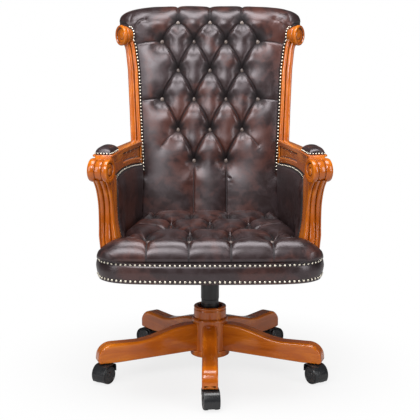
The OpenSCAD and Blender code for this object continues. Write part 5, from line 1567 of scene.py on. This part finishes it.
class CHAIR_OT_stage(bpy.types.Operator):
    """Makes the floor, the soft lamps, the room and the camera at the photograph's place"""
    bl_idname = "chair.stage"
    bl_label = "Floor, lamps and camera"

    def execute(self, context):
        sizes, looks = context.scene.chair_sizes, context.scene.chair_looks
        floor, far = bpy.data.meshes.new("floor"), 9.0
        floor.from_pydata([(-far, -far, 0), (far, -far, 0), (far, far, 0), (-far, far, 0)], [], [(0, 1, 2, 3)])
        floor.materials.append(make_floor(tuple(looks.floor)))
        made = bpy.data.objects.new("floor", floor)
        bpy.context.scene.collection.objects.link(made)
        make_world(looks.room)
        soft_lamp("key", (-0.9, -2.9, 2.7), (0, 0.1, 0.7), (1.7, 1.3), 96 * looks.lamps)
        soft_lamp("right", (2.4, -1.9, 1.5), (0, 0, 0.7), (0.8, 2.0), 36 * looks.lamps)
        soft_lamp("left", (-2.4, -1.9, 1.5), (0, 0, 0.7), (0.8, 2.0), 28 * looks.lamps)
        soft_lamp("top", (0.0, -0.5, 3.0), (0, 0.0, 0.6), (2.2, 1.3), 86 * looks.lamps)
        camera = bpy.data.cameras.new("camera")
        camera.lens, camera.sensor_width = sizes.camera_lens, 36.0
        made = bpy.data.objects.new("camera", camera)
        made.location = (0, -sizes.camera_away, sizes.camera_height)
        made.rotation_euler = (math.pi / 2 - sizes.camera_tilt, 0, 0)
        bpy.context.scene.collection.objects.link(made)
        bpy.context.scene.camera = made
        bpy.context.scene.view_settings.view_transform = "Standard"
        return {"FINISHED"}


# ---------- settings, panel and run ----------

class ChairSizes(bpy.types.PropertyGroup):
    """Sizes that a user would change"""
    camera_away: bpy.props.FloatProperty(name="Camera distance", description="From the camera to the chair's axis",
                                         default=3.75, unit="LENGTH")
    camera_height: bpy.props.FloatProperty(name="Camera height", description="Height of the lens above the floor",
                                           default=1.27, unit="LENGTH")
    camera_tilt: bpy.props.FloatProperty(name="Camera tilt", description="How far the camera looks down",
                                         default=math.radians(11.2), subtype="ANGLE")
    camera_lens: bpy.props.FloatProperty(name="Lens", description="Focal length in millimetres",
                                         default=1215 / 420 * 36)


def colour_property(name, description, default):
    """A colour setting with its opacity at 1."""
    return bpy.props.FloatVectorProperty(name=name, description=description, default=default + (1.0,), size=4,
                                         min=0, max=1, subtype="COLOR")


class ChairLooks(bpy.types.PropertyGroup):
    """Colours of the wood, leather, plastic and metal, and the level of the light"""
    # Light wood also tints the painted highlight, partly edge wear, along raised edges.
    wood_light: colour_property("Light wood", "Raised and rubbed places of the wood", (0.54, 0.150, 0.005))
    wood_warm: colour_property("Warm wood", "Body colour of the wood", (0.36, 0.077, 0.003))
    # Deep glaze also serves as the painted shade in the grooves.
    wood_deep: colour_property("Deep glaze", "Stain that gathers in the grooves", (0.060, 0.010, 0.002))
    leather_dark: colour_property("Dark leather", "Body colour of the leather", (0.018, 0.0088, 0.0084))
    leather_rubbed: colour_property("Rubbed leather", "Red-brown where the top colour is rubbed",
                                    (0.066, 0.020, 0.013))
    leather_bloom: colour_property("Leather bloom", "Greyish places of the leather", (0.034, 0.022, 0.024))
    plastic: colour_property("Plastic", "Casters and column", (0.012, 0.0125, 0.014))
    brass: colour_property("Nails", "Pale antique brass", (0.80, 0.74, 0.62))
    floor: colour_property("Floor", "Pale studio floor", (0.56, 0.56, 0.56))
    lamps: bpy.props.FloatProperty(name="Lamps", description="Level of the four lamps", default=1.0, min=0)
    room: bpy.props.FloatProperty(name="Room light", description="Level of the light from all round",
                                  default=0.09, min=0)


def finishes(context):
    """The finishes by name, made once from the colours."""
    if not FINISHES:
        c = context.scene.chair_looks
        FINISHES.update(
            wood=make_wood("stained_wood", c),
            cad_wood=make_wood("stained_wood_plain", c, "Object"),
            raw=make_wood("raw_wood", c, "Object"),
            tufted=make_leather("tufted_leather", c),
            plain=make_leather("plain_leather", c, rub=0.7),
            # The buttons' leather is paler than the rest: partly their own rubbed tone, partly a painted highlight on
            # their domes.
            buttons=make_leather("button_leather", c, rub=0.2, dark=(0.17, 0.135, 0.115, 1.0)),
            plastic=make_plastic("column_plastic", tuple(c.plastic), 0.38),
            caster=make_plastic("hood_plastic", tuple(c.plastic), 0.25),
            tread=make_plastic("wheel_plastic", tuple(c.plastic), 0.3),
            painted=make_plastic("painted_steel", tuple(c.plastic), 0.5, 2.0),
            steel=make_metal("bright_steel", (0.58, 0.58, 0.59, 1.0), 0.3, drawn=True),
            brass=make_metal("nail_brass", tuple(c.brass), 0.3))
    return FINISHES


FINISHES = {}
STEPS = ("base", "casters", "mechanism", "seat", "back", "buttons", "uprights", "arms", "nails", "stage")


class CHAIR_PT_panel(bpy.types.Panel):
    """Lists the chair's sizes, colours and steps"""
    bl_idname = "CHAIR_PT_panel"
    bl_label = "Tufted chair"
    bl_space_type = "VIEW_3D"
    bl_region_type = "UI"
    bl_category = "Chair"

    def draw(self, context):
        for group in (context.scene.chair_sizes, context.scene.chair_looks):
            for key in group.__annotations__:
                self.layout.prop(group, key)
        for step in STEPS:
            self.layout.operator(f"chair.{step}")


CLASSES = (ChairSizes, ChairLooks, CHAIR_OT_base, CHAIR_OT_casters, CHAIR_OT_mechanism, CHAIR_OT_seat, CHAIR_OT_back,
           CHAIR_OT_buttons, CHAIR_OT_uprights, CHAIR_OT_arms, CHAIR_OT_nails, CHAIR_OT_stage, CHAIR_PT_panel)


def register():
    """Adds the classes and hangs the two groups of settings on the scene."""
    for c in CLASSES:
        bpy.utils.register_class(c)
    bpy.types.Scene.chair_sizes = bpy.props.PointerProperty(type=ChairSizes)
    bpy.types.Scene.chair_looks = bpy.props.PointerProperty(type=ChairLooks)


def unregister():
    """Takes away all that register added."""
    del bpy.types.Scene.chair_looks
    del bpy.types.Scene.chair_sizes
    for c in reversed(CLASSES):
        bpy.utils.unregister_class(c)


def main():
    """Makes every piece in order."""
    register()
    for step in STEPS:
        getattr(bpy.ops.chair, step)()


if __name__ == "__main__":
    main()
